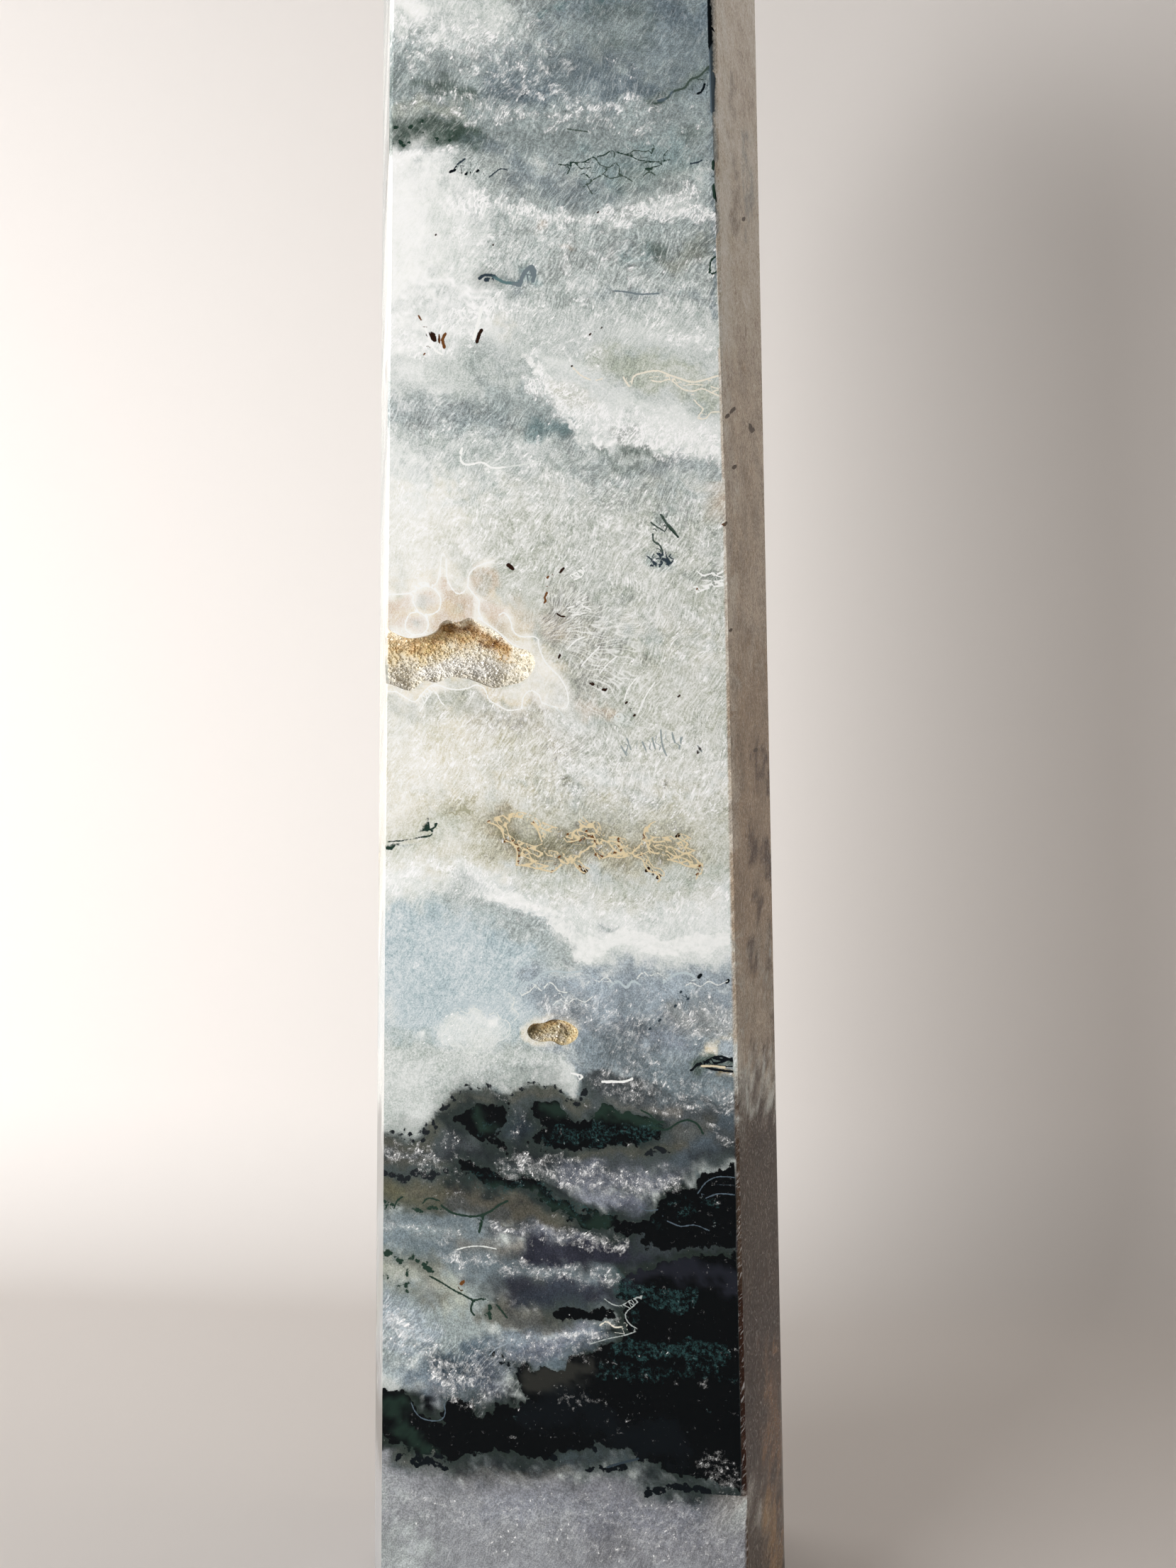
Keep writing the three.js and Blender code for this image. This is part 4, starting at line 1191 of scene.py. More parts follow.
def paint_moss_edge(p):
    """The black crenulated edge of the first moss band, and its green-black masses."""
    p.patch("mist", 1, 6, (500, 1480), (780, 1490), (804, 1540), (808, 1556), (780, 1526), (716, 1538),
            (680, 1526), (652, 1536), (630, 1552), (616, 1592), (578, 1596), (500, 1594))
    p.wash("haze", 0.7, 10, 14, (620, 1540), (680, 1516), (780, 1516))
    p.patch("murk", 1, 4, (540, 1600), (578, 1606), (612, 1600), (618, 1580), (630, 1560), (656, 1540),
            (680, 1532), (716, 1544), (748, 1532), (780, 1534), (800, 1556), (816, 1546), (822, 1520),
            (840, 1506), (900, 1524), (960, 1540), (1060, 1550), (1060, 1640), (540, 1660))
    p.wash("peat", 0.8, 7, 7, (541, 1610), (600, 1616), (620, 1590), (640, 1560), (680, 1542), (716, 1552),
           (750, 1542), (784, 1544), (808, 1570), (822, 1552))
    p.wash("slate", 0.75, 14, 18, (920, 1526), (1040, 1550))
    p.wash("taupe", 0.4, 5, 7, (850, 1562), (910, 1560), (960, 1570))
    p.wash("steel", 0.5, 12, 14, (970, 1600), (1000, 1600), (1040, 1584))
    p.wash("peat", 0.5, 10, 12, (950, 1600), (1000, 1590))
    p.wash("mist", 0.8, 8, 9, (596, 1566), (612, 1546), (640, 1530))
    p.wash("soot", 0.6, 12, 14, (700, 1620), (760, 1610))
    p.wash("soot", 0.9, 22, 14, (650, 1582), (690, 1566), (700, 1590), (700, 1612))
    p.wash("soot", 0.9, 22, 14, (750, 1590), (800, 1600), (860, 1600), (920, 1592))
    p.wash("ink", 0.7, 16, 12, (712, 1590), (744, 1596))
    p.wash("peat", 0.8, 5, 5, (720, 1626), (800, 1628), (900, 1622), (960, 1618))
    edge = ((541, 1597), (560, 1596), (572, 1600), (584, 1606), (600, 1608), (614, 1604), (618, 1588),
            (622, 1572), (634, 1560), (648, 1552), (654, 1540), (668, 1536), (682, 1530), (696, 1536),
            (712, 1541), (726, 1540), (738, 1534), (750, 1530), (766, 1532), (782, 1532), (792, 1540),
            (798, 1554), (806, 1562), (816, 1552), (824, 1540))
    for start, stop in zip(edge[:-1], edge[1:]):
        p.grow("soot", 1.5, start, stop)
    p.knobs("soot", 3.6, (578, 1594), (600, 1596), (600, 1604), (626, 1562), (640, 1552), (657, 1535),
            (668, 1532), (680, 1530), (692, 1532), (702, 1536), (722, 1540), (734, 1534), (748, 1529),
            (766, 1530), (784, 1532), (806, 1560), (820, 1546))
    p.grow_patch("pitch", (639, 1580), (656, 1566), (689, 1550), (709, 1556), (716, 1566), (706, 1586),
                 (699, 1606), (719, 1616), (719, 1624), (706, 1623), (683, 1609), (666, 1593), (643, 1586))
    p.grow_patch("pitch", (742, 1563), (752, 1553), (785, 1560), (792, 1576), (832, 1583), (842, 1560),
                 (858, 1566), (905, 1570), (925, 1580), (938, 1590), (925, 1606), (905, 1613), (855, 1619),
                 (822, 1621), (779, 1623), (752, 1613), (766, 1596), (752, 1583), (742, 1573))
    p.grow_patch("soot", (901, 1624), (920, 1618), (941, 1626), (930, 1634), (908, 1632))
    p.stain("moss", 0.8, 8, 8, (680, 1564), (690, 1590))
    p.stain("moss", 0.8, 8, 8, (760, 1566), (786, 1572))
    p.stain("moss", 0.9, 10, 10, (846, 1570), (880, 1576), (930, 1590))
    p.strand("moss", 1.4, (920, 1590), (940, 1594), (956, 1584), (970, 1580), (984, 1586), (992, 1600))
    p.strand("moss", 1.2, (904, 1566), (916, 1572), (926, 1582), (936, 1582))
    p.mark("flakes", 0.8, 14, 10, (780, 1606), (920, 1596))
    p.mark("flakes", 0.4, 14, 10, (680, 1566), (690, 1600))
    p.mark("grain", 0.32, 12, 10, (640, 1616), (660, 1640))
    p.mark("grain", 0.34, 8, 8, (730, 1600), (716, 1560))
    p.mark("grain", 0.42, 16, 14, (540, 1620), (600, 1640))
    p.mark("flecks", 0.4, 16, 14, (560, 1620), (620, 1636))
    p.mark("grain", 0.42, 18, 16, (860, 1536), (1030, 1560))
    p.mark("flecks", 0.35, 20, 20, (850, 1510), (1030, 1556))
    p.mark("flecks", 0.35, 10, 10, (1010, 1590), (1040, 1630))


def paint_sparkle_bands(p):
    """Violet-grey sparkling bands between green-black bands."""
    p.wash("peat", 0.7, 7, 9, (540, 1636), (640, 1640))
    p.wash("olive", 0.6, 12, 12, (540, 1680), (620, 1680))
    p.wash("peat", 0.7, 12, 12, (590, 1684), (640, 1684), (680, 1690))
    p.wash("murk", 0.9, 20, 14, (720, 1640), (830, 1660), (950, 1666))
    p.wash("soot", 0.7, 14, 12, (640, 1634), (720, 1622), (800, 1630))
    p.wash("violet", 0.6, 14, 12, (800, 1656), (900, 1664), (950, 1668))
    p.wash("violet", 0.8, 14, 12, (830, 1690), (890, 1706))
    p.wash("steel", 0.5, 8, 12, (950, 1640), (1010, 1626))
    p.wash("soot", 0.5, 8, 12, (980, 1640), (1050, 1626))
    p.wash("soot", 0.95, 16, 12, (640, 1654), (706, 1662), (770, 1690), (830, 1716), (910, 1738))
    p.wash("peat", 0.7, 10, 10, (640, 1690), (700, 1696), (760, 1714))
    p.wash("pitch", 0.95, 34, 16, (960, 1706), (1060, 1690))
    p.wash("ink", 0.7, 6, 8, (984, 1664), (1040, 1672))
    p.wash("murk", 0.6, 12, 12, (640, 1694), (680, 1702), (720, 1710))
    p.wash("soot", 0.45, 16, 18, (810, 1738), (860, 1748), (920, 1752))
    p.wash("soot", 0.4, 12, 12, (700, 1632), (800, 1634))
    p.grow("pitch", 9, (656, 1648), (706, 1660), (755, 1676), (780, 1698), (822, 1714), (871, 1731), (930, 1740))
    p.stain("moss", 0.8, 8, 8, (690, 1664), (780, 1700), (850, 1726))
    p.grow("soot", 4, (541, 1658), (580, 1656), (630, 1650))
    p.grow("moss", 3.4, (541, 1698), (556, 1704), (580, 1702), (606, 1698), (622, 1700))
    p.strand("moss", 1.6, (622, 1700), (636, 1710), (650, 1714), (670, 1716), (690, 1710), (704, 1700),
             (716, 1694))
    p.strand("moss", 2.0, (682, 1714), (678, 1730), (676, 1738))
    p.strand("moss", 1.2, (556, 1704), (560, 1694), (568, 1688))
    p.strand("moss", 1.2, (596, 1698), (604, 1690), (620, 1694))
    p.grow_patch("pitch", (935, 1686), (971, 1679), (988, 1659), (1044, 1643), (1070, 1640), (1070, 1760),
                 (900, 1760), (910, 1720))
    for curve in (((984, 1684), (996, 1668), (1014, 1660), (1044, 1662)),
                  ((996, 1690), (1014, 1684), (1040, 1686)),
                  ((940, 1722), (960, 1730), (980, 1728), (1000, 1736)),
                  ((900, 1700), (912, 1708), (928, 1706))):
        p.strand("steel", 0.7, *curve)
    p.mark("flakes", 0.6, 14, 12, (660, 1656), (760, 1682), (860, 1726))
    p.mark("flakes", 0.6, 14, 12, (950, 1700), (1000, 1696))
    p.mark("flakes", 0.35, 12, 12, (920, 1726), (1040, 1730))
    p.mark("grain", 0.46, 20, 12, (720, 1640), (830, 1658), (950, 1672))
    p.mark("flecks", 0.4, 16, 12, (740, 1646), (830, 1662), (950, 1674))
    p.mark("grain", 0.35, 10, 10, (830, 1690), (890, 1700))
    p.mark("grain", 0.25, 20, 14, (620, 1660), (640, 1690))


def paint_tufts(p):
    """Olive haze, moss tufts and sparkling bands over the dark mass."""
    p.wash("slate", 0.8, 14, 14, (560, 1722), (680, 1730))
    p.wash("slate", 0.7, 20, 20, (540, 1756), (590, 1760), (650, 1756))
    p.wash("smoke", 0.5, 8, 10, (530, 1742), (580, 1740), (650, 1744))
    p.wash("murk", 0.9, 12, 12, (706, 1732), (780, 1746), (870, 1756))
    p.wash("violet", 0.6, 8, 10, (710, 1730), (750, 1742), (830, 1752))
    p.wash("taupe", 0.45, 10, 12, (650, 1764), (730, 1758))
    p.wash("slate", 0.8, 14, 12, (620, 1780), (700, 1788), (780, 1798), (860, 1808))
    p.wash("plum", 0.95, 16, 10, (756, 1768), (830, 1768), (900, 1776))
    p.wash("plum", 0.9, 30, 14, (920, 1770), (1060, 1770))
    p.wash("plum", 0.8, 16, 16, (740, 1818), (820, 1824), (880, 1836))
    p.wash("lichen", 0.4, 18, 20, (540, 1790), (600, 1800), (640, 1836))
    p.wash("peat", 0.75, 18, 18, (700, 1850), (780, 1860), (830, 1862))
    p.wash("murk", 0.5, 16, 18, (740, 1862), (800, 1872), (840, 1880))
    p.wash("peat", 0.4, 14, 16, (600, 1790), (610, 1830))
    p.wash("haze", 0.8, 8, 8, (822, 1878), (850, 1872), (872, 1862))
    p.thread("frost", 0.8, (644, 1763), (660, 1759), (680, 1758), (700, 1762))
    p.grow("moss", 2.6, (541, 1778), (556, 1780), (566, 1790), (574, 1800))
    p.grow("moss", 4, (578, 1776), (590, 1782), (598, 1796))
    p.grow("moss", 2, (545, 1796), (560, 1812), (576, 1816))
    p.strand("moss", 1.3, (606, 1800), (624, 1810), (640, 1820), (656, 1828), (668, 1834), (680, 1832))
    p.grow("moss", 3.5, (690, 1830), (702, 1842), (696, 1856))
    p.strand("moss", 1.4, (668, 1834), (664, 1848), (670, 1856))
    p.strand("moss", 1.4, (700, 1840), (710, 1852), (716, 1860))
    p.specks("strand", "rust", 2.6, (651, 1811))
    p.grow_patch("pitch", (785, 1842), (800, 1838), (830, 1846), (860, 1852), (882, 1858), (872, 1870),
                 (848, 1866), (820, 1862), (800, 1856))
    p.wash("smoke", 0.6, 2, 5, (852, 1832), (876, 1842), (900, 1832), (884, 1854), (892, 1870), (860, 1888))
    p.thread("haze", 0.7, (852, 1832), (864, 1840), (876, 1842), (890, 1834), (908, 1828), (894, 1842),
             (882, 1854), (888, 1868), (900, 1876), (880, 1884), (860, 1888), (832, 1896))
    p.thread("ivory", 1.0, (846, 1870), (856, 1864), (866, 1872), (878, 1872))
    p.mark("grain", 0.45, 12, 10, (530, 1736), (600, 1740), (650, 1746))
    p.mark("grain", 0.46, 12, 10, (700, 1730), (760, 1742), (870, 1752))
    p.mark("grain", 0.46, 11, 10, (620, 1774), (700, 1784), (800, 1797), (860, 1808))
    p.mark("flecks", 0.4, 12, 10, (700, 1730), (760, 1742), (870, 1752))
    p.mark("flecks", 0.4, 11, 10, (620, 1774), (700, 1784), (800, 1797), (860, 1808))
    p.mark("grain", 0.35, 10, 10, (726, 1830), (766, 1836))
    p.mark("grain", 0.5, 7, 7, (846, 1876), (880, 1868))


def paint_dark_mass(p):
    """The great near-black mass on the right with teal moss, and the pale blue crystals on its left."""
    p.wash("dusk", 0.8, 26, 26, (530, 1850), (590, 1880))
    p.wash("steel", 0.9, 24, 24, (600, 1940), (680, 1920), (760, 1904), (830, 1900))
    p.wash("violet", 0.7, 16, 20, (660, 1950), (700, 1930), (760, 1900), (830, 1890))
    p.wash("ink", 0.7, 16, 14, (620, 1920), (646, 1936))
    p.wash("dusk", 0.6, 6, 8, (700, 1906), (720, 1892), (760, 1882), (830, 1888))
    p.wash("dusk", 0.35, 12, 14, (540, 1930), (590, 1950))
    p.wash("violet", 0.5, 14, 16, (620, 1960), (680, 1966), (700, 1976))
    p.grow_patch("pitch", (875, 1796), (940, 1774), (1060, 1764), (1090, 1764), (1090, 2110), (1010, 2088),
                 (940, 2066), (900, 2050), (840, 2040), (760, 2048), (690, 2048), (640, 2060), (600, 2056),
                 (560, 2040), (530, 2010), (500, 1990), (500, 1965), (545, 1958), (566, 1964), (580, 1990),
                 (600, 2002), (624, 2006), (630, 1976), (640, 1970), (656, 1976), (668, 1996), (690, 1990),
                 (704, 1980), (728, 1984), (742, 1972), (730, 1952), (724, 1934), (740, 1926), (770, 1928),
                 (792, 1934), (800, 1914), (840, 1906), (864, 1892), (890, 1884), (884, 1850), (892, 1836),
                 (870, 1824))
    p.stain("peat", 0.5, 14, 14, (740, 1940), (780, 1950), (830, 1930))
    p.stain("moss", 0.8, 10, 12, (550, 1980), (570, 2010), (600, 2050))
    p.stain("night", 0.8, 20, 16, (760, 1990), (820, 1980), (880, 2030), (960, 2040))
    p.stain("plum", 0.7, 16, 16, (890, 1790), (960, 1786), (1040, 1800))
    p.patch("pitch", 0.97, 10, (870, 1790), (940, 1770), (1060, 1760), (1060, 2110), (1000, 2090), (940, 2070),
            (900, 2050), (840, 2040), (760, 2050), (690, 2050), (640, 2060), (600, 2056), (560, 2040),
            (530, 2010), (530, 1975), (560, 1968), (580, 1990), (600, 2002), (624, 2006), (632, 1980),
            (660, 1986), (676, 1996), (700, 1984), (728, 1990), (740, 1972), (726, 1950), (716, 1932),
            (760, 1926), (790, 1936), (830, 1906), (870, 1898), (890, 1880), (880, 1850), (900, 1830),
            (880, 1810))
    p.wash("moss", 0.6, 14, 16, (550, 1990), (570, 2020), (600, 2050))
    p.wash("olive", 0.7, 10, 10, (606, 2044), (640, 2040))
    p.wash("taupe", 0.35, 8, 9, (612, 2046), (636, 2044))
    p.wash("violet", 0.45, 12, 14, (840, 2046), (880, 2040))
    p.knobs("night", 2.6, (696, 1921), (702, 1927), (708, 1920), (712, 1930), (718, 1934), (728, 1928),
            (742, 1926), (756, 1924), (772, 1927), (786, 1932), (632, 1974), (642, 1971), (654, 1974))
    p.thread("steel", 0.7, (580, 1978), (586, 1992), (598, 2002), (620, 2004), (628, 1994), (626, 1978))
    p.thread("dusk", 0.8, (690, 1912), (700, 1902), (714, 1896), (720, 1886), (726, 1878))
    p.wash("ink", 0.45, 14, 18, (760, 1822), (820, 1840), (860, 1850))
    p.wash("ink", 0.5, 14, 16, (610, 1916), (650, 1935), (680, 1945))
    p.wash("ink", 0.5, 12, 14, (636, 1956), (664, 1966))
    p.mark("flakes", 0.95, 16, 10, (876, 1812), (920, 1816), (974, 1836))
    p.mark("flakes", 0.6, 10, 8, (900, 1850), (902, 1868))
    p.mark("flakes", 0.9, 14, 10, (872, 1900), (940, 1906), (1018, 1912))
    p.mark("flakes", 0.6, 16, 12, (850, 1930), (940, 1940), (1030, 1940))
    p.mark("flakes", 0.2, 30, 16, (860, 1990), (940, 2000), (1030, 2000))
    p.mark("flakes", 0.35, 12, 10, (700, 2006), (750, 1998))
    p.mark("grain", 0.42, 24, 18, (540, 1860), (600, 1890), (620, 1950))
    p.mark("grain", 0.42, 20, 16, (640, 1940), (700, 1906), (840, 1896))
    p.mark("grain", 0.3, 14, 10, (800, 1974), (850, 1972))
    p.mark("flecks", 0.45, 26, 20, (550, 1860), (610, 1920), (670, 1960))
    p.mark("flecks", 0.5, 6, 8, (706, 1896), (760, 1884), (840, 1890))
    p.mark("streaks", 0.6, 40, 30, (540, 1860), (640, 1920), (700, 1940))


def paint_foot(p):
    """The lower edge of the dark band and the violet-grey foot with its upright flecks."""
    p.patch("ash", 1, 14, (500, 2030), (545, 2046), (580, 2068), (620, 2082), (690, 2092), (760, 2086),
            (860, 2080), (920, 2100), (980, 2116), (1020, 2122), (1060, 2140), (1090, 2400), (500, 2400))
    p.wash("haze", 0.7, 40, 50, (530, 2150), (560, 2210))
    p.wash("flint", 0.7, 50, 60, (880, 2160), (1070, 2200))
    p.wash("murk", 0.8, 10, 26, (570, 2056), (640, 2078), (700, 2084), (780, 2076), (860, 2076), (930, 2098),
           (1000, 2120), (1060, 2136))
    p.wash("soot", 0.8, 14, 20, (930, 2080), (1000, 2100), (1060, 2116))
    p.wash("soot", 0.7, 10, 14, (640, 2052), (700, 2056), (780, 2048), (860, 2050), (920, 2070))
    p.wash("steel", 0.6, 5, 8, (790, 2056), (850, 2052), (880, 2056))
    p.wash("peat", 0.5, 8, 14, (560, 2056), (620, 2074), (700, 2084), (800, 2074))
    p.wash("violet", 0.35, 26, 30, (700, 2120), (850, 2120), (960, 2150))
    p.wash("violet", 0.6, 14, 16, (1000, 2060), (1030, 2080))
    p.grow("night", 4, (830, 2069), (856, 2071), (880, 2064))
    p.strand("ink", 1.6, (856, 2070), (876, 2064), (900, 2058))
    p.grow("night", 6, (920, 2100), (950, 2092), (980, 2096), (1000, 2110))
    p.grow("night", 5, (590, 2064), (610, 2070), (624, 2070))
    p.wash("flint", 0.6, 14, 18, (600, 2090), (700, 2100), (800, 2096), (880, 2104), (940, 2120))
    p.wash("soot", 0.5, 10, 12, (620, 2062), (700, 2066), (780, 2060), (860, 2062), (920, 2080))
    p.wash("soot", 0.7, 18, 18, (960, 2096), (1060, 2118))
    p.knobs("night", 6, (570, 2054), (590, 2060), (612, 2056), (660, 2048), (690, 2044), (716, 2048), (744, 2042),
            (776, 2046), (806, 2042), (836, 2044))
    p.mark("grain", 0.42, 20, 20, (560, 2120), (760, 2120), (980, 2140))
    p.mark("grain", 0.44, 16, 12, (1000, 2060), (1030, 2086))
    p.mark("grain", 0.36, 40, 30, (700, 2160), (1050, 2180))
    p.mark("streaks", 0.25, 60, 40, (540, 2160), (1050, 2190))


def paint_light_veil(p):
    """Painted light: the milky glow of the left side. Painted shade: the fainter light on the right."""
    p.wash("snow", 0.35, 40, 90, (530, 220), (530, 700), (530, 1200))
    p.wash("smoke", 0.16, 60, 120, (1070, 260), (1070, 1400))
    p.wash("smoke", 0.16, 50, 60, (830, 540), (830, 1190))
    p.wash("slate", 0.25, 14, 30, (1000, 230), (1004, 330))
    p.wash("snow", 0.3, 26, 40, (596, 420), (610, 560))


def paint_edge_shade(p):
    """Painted shade on the front face's polished upright edges: dark bars where the edge facets are darker, some
    of them moss green.
    """
    p.strand("night", 5, (1002, -20), (1004, 66))
    p.strand("steel", 4, (1004, 70), (1006, 156))
    p.wash("slate", 0.6, 5, 3, (1006, 160), (1010, 440))
    p.strand("moss", 4, (1008, 229), (1008, 237))
    p.strand("moss", 4.5, (1009, 263), (1010, 277))
    p.strand("moss", 1.2, (1001, 384), (1003, 368), (1012, 362), (1017, 372), (1010, 384), (1002, 386))
    p.strand("slate", 1.4, (552, -20), (552, 80))
    p.strand("night", 2, (551, 80), (551, 98))
    p.strand("night", 2.4, (550, 152), (549, 214))


def strip(*path):
    """A path on the right-front face, in the canvas's own strip for it."""
    return [(across + RIGHT_STRIP, down) for across, down in path]


def paint_right_front_reflection_and_shade(p):
    """The right-front face, painted almost all with reflection and shade: faint upright taupe streaks, a painted
    reflection of a pale wall, that turn brown and then dark lower down with painted shade and a painted
    reflection of wood.
    """
    # Painted shade and painted reflection, from pale taupe at the top to dark brown at the foot
    p.wash("pearl", 1, 200, 60, *strip((1040, -400), (1050, 500)))
    p.wash("stone", 1, 150, 80, *strip((1050, 650), (1060, 900)))
    p.wash("drab", 1, 120, 80, *strip((1060, 1050), (1070, 1250)))
    p.wash("drab", 0.8, 60, 60, *strip((1070, 1420), (1070, 1450)))
    p.wash("cocoa", 1, 120, 60, *strip((1080, 1680), (1080, 1800)))
    p.wash("bark", 1, 90, 60, *strip((1080, 1900), (1090, 2020)))
    p.wash("cocoa", 1, 120, 70, *strip((1090, 2240), (1090, 2400)))
    # Painted reflection of warm wood, low on the face
    p.wash("russet", 0.8, 12, 20, *strip((1090, 1900), (1096, 2100), (1096, 2260)))
    # Painted highlight along the face's front edge
    p.wash("frost", 0.4, 6, 8, *strip((1016, 0), (1030, 900), (1036, 1200)))
    # Upright streaks of painted reflection
    for path in (((1046, 20), (1052, 160)), ((1040, 380), (1052, 520)), ((1052, 640), (1058, 820)),
                 ((1036, 720), (1042, 880)), ((1048, 960), (1052, 1120)), ((1074, 900), (1078, 1120))):
        p.wash("drab", 0.5, 3, 9, *strip(*path))
    p.wash("umber", 0.6, 2, 6, *strip((1084, 1300), (1096, 1700), (1104, 2212)))
    p.wash("bark", 0.7, 2, 4, *strip((1096, 1600), (1106, 2150)))
    # Painted reflection of warm wood at the foot
    p.wash("honey", 0.35, 10, 14, *strip((1090, 2120), (1096, 2212)))
    p.wash("steel", 0.35, 3, 7, *strip((1053, 190), (1056, 340)))
    p.wash("umber", 0.4, 2, 5, *strip((1030, 100), (1036, 320)))
    for path in (((1062, 1046), (1066, 1080), (1064, 1112)), ((1064, 1168), (1070, 1196), (1066, 1222)),
                 ((1064, 1258), (1068, 1300)), ((1062, 1328), (1066, 1372)),
                 ((1066, 1466), (1070, 1500), (1068, 1544)), ((1078, 1060), (1082, 1110)),
                 ((1080, 1180), (1084, 1240)), ((1076, 1560), (1078, 1640))):
        p.wash("bark", 0.6, 3, 5, *strip(*path))
    p.specks("strand", "umber", 2.6, *strip((1025, 588), (1034, 578), (1048, 310), (1056, 602), (1060, 609),
                                            (1035, 660), (1022, 740), (1030, 890), (1064, 1060)))
    p.mark("streaks", 0.5, 200, 60, *strip((1050, 0), (1080, 2212)))


def paint_cream_druse(p):
    """Cream quartz, stained gold on the left and brown under the upper lip, with painted light on its lower side.
    """
    p.wash("ivory", 1, 200, 10, (500, 920), (780, 920))
    # Painted light: white on the lower side, lifting it out of the hollow's shade
    p.wash("white", 0.6, 16, 16, (600, 962), (650, 944), (700, 944))
    p.wash("sand", 0.8, 18, 16, (520, 915), (580, 920), (620, 910))
    p.wash("honey", 0.4, 10, 12, (520, 900), (566, 906), (610, 904), (650, 896))
    p.wash("honey", 0.6, 7, 8, (640, 890), (690, 902), (716, 920))
    p.wash("caramel", 0.7, 4, 6, (622, 886), (660, 880), (690, 892), (714, 912))
    p.wash("rust", 0.7, 2, 3, (652, 879), (668, 884))
    p.wash("rust", 0.7, 3, 4, (674, 900), (690, 906), (706, 900))


def paint_golden_druse(p):
    """Golden quartz, brown at the top and right, cream along its lower side."""
    p.wash("sand", 1, 100, 10, (740, 1455), (820, 1455))
    p.wash("ivory", 0.9, 5, 5, (756, 1466), (780, 1462), (800, 1468))
    p.wash("khaki", 0.7, 5, 5, (748, 1456), (766, 1448), (812, 1460))
    p.wash("honey", 0.5, 3, 4, (762, 1449), (792, 1450))
    p.wash("umber", 0.8, 3, 3, (776, 1441), (790, 1442))
    p.wash("umber", 0.6, 3, 4, (798, 1448), (812, 1454))
    p.wash("sand", 0.7, 3, 4, (760, 1456), (786, 1454))


def add(tree, kind, links=(), **settings):
    """Adds a node, sets its properties, and fills its sockets with values or links."""
    made = tree.nodes.new(f"ShaderNode{kind}")
    for name, value in settings.items():
        setattr(made, name, value)
    for socket, source in dict(links).items():
        if isinstance(source, bpy.types.Node):
            source = source.outputs[0]
        if isinstance(source, bpy.types.NodeSocket):
            tree.links.new(source, made.inputs[socket])
        else:
            made.inputs[socket].default_value = source
    return made


def bright_cells(tree, cells, share):
    """A random brightness in a random share of a pattern's cells, 0 in the others."""
    draws = add(tree, "SeparateColor", {0: cells.outputs["Color"]})
    chosen = add(tree, "Math", {0: share, 1: draws.outputs["Red"]}, operation="SUBTRACT")
    chosen = add(tree, "MapRange", {"Value": chosen, "From Min": 0.0, "From Max": 0.08})
    brightness = add(tree, "MapRange", {"Value": draws.outputs["Green"], "To Min": 0.3, "To Max": 1.0})
    return add(tree, "Math", {0: chosen, 1: brightness}, operation="MULTIPLY")


def drawn_out(tree, place, angle, length, width):
    """Turns and squeezes coordinates in mm, so that what is round becomes long at an angle from level."""
    turned = add(tree, "VectorRotate", {"Vector": place, "Angle": math.radians(angle)}, rotation_type="Y_AXIS")
    return add(tree, "VectorMath", {0: turned, 1: (1 / length, 1 / width, 1 / width)}, operation="MULTIPLY")


def crowded(tree, amount, clumps):
    """Turns an even amount, 0 to 1, to one that is gathered in ragged clumps."""
    gathered = add(tree, "MapRange", {"Value": clumps, "From Min": 0.3, "From Max": 0.7})
    summed = add(tree, "Math", {0: gathered, 1: amount}, operation="ADD")
    return add(tree, "MapRange", {"Value": summed, "From Min": 0.85, "From Max": 1.35})


def needles(tree, place, share):
    """Small crystals, one in each of a random share of the cells."""
    spots = add(tree, "TexVoronoi", {"Vector": place, "Scale": 1.0})
    body = add(tree, "MapRange", {"Value": spots, "From Min": 0.42, "From Max": 0.2},
               interpolation_type="SMOOTHSTEP")
    return add(tree, "Math", {0: body, 1: bright_cells(tree, spots, share)}, operation="MULTIPLY")


def outlines(tree, place, width, detail):
    """Thin pale loops, 0 to 1: the places where noise passes its middle."""
    waves = add(tree, "TexNoise", {"Vector": place, "Scale": 1.0, "Detail": detail})
    off_middle = add(tree, "Math", {0: waves, 1: 0.5}, operation="SUBTRACT")
    off_middle = add(tree, "Math", {0: off_middle}, operation="ABSOLUTE")
    return add(tree, "MapRange", {"Value": off_middle, "From Min": width, "From Max": 0.0})


def ragged_edge(tree, inside, waves, lobes, low, high):
    """Turns a depth inside a mass, in mm, to an amount with a ragged and lobed edge."""
    waved = add(tree, "Math", {0: waves, 1: 2.4, 2: inside}, operation="MULTIPLY_ADD")
    lobed = add(tree, "Math", {0: lobes, 1: -1.1, 2: waved}, operation="MULTIPLY_ADD")
    return add(tree, "MapRange", {"Value": lobed, "From Min": low, "From Max": high})


def line_amount(tree, marks, wobble):
    """How far inside a thin line a point lies: the attribute holds the step to the line and its half width."""
    step = add(tree, "VectorMath", {0: marks.outputs["Vector"], 1: (1, 1, 0)}, operation="MULTIPLY")
    reach = add(tree, "VectorMath", {0: step}, operation="LENGTH").outputs["Value"]
    reach = add(tree, "Math", {0: reach, 1: wobble}, operation="ADD")
    half = add(tree, "SeparateXYZ", {0: marks.outputs["Vector"]}).outputs["Z"]
    inside = add(tree, "Math", {0: half, 1: reach}, operation="SUBTRACT")
    return add(tree, "MapRange", {"Value": inside, "From Min": -0.06, "From Max": 0.06},
               interpolation_type="SMOOTHSTEP")


# The needle spray beside the main hollow, in mm
SPRAY_CENTRE = tuple(c / MM for c in on_front([(762, 880)])[0])


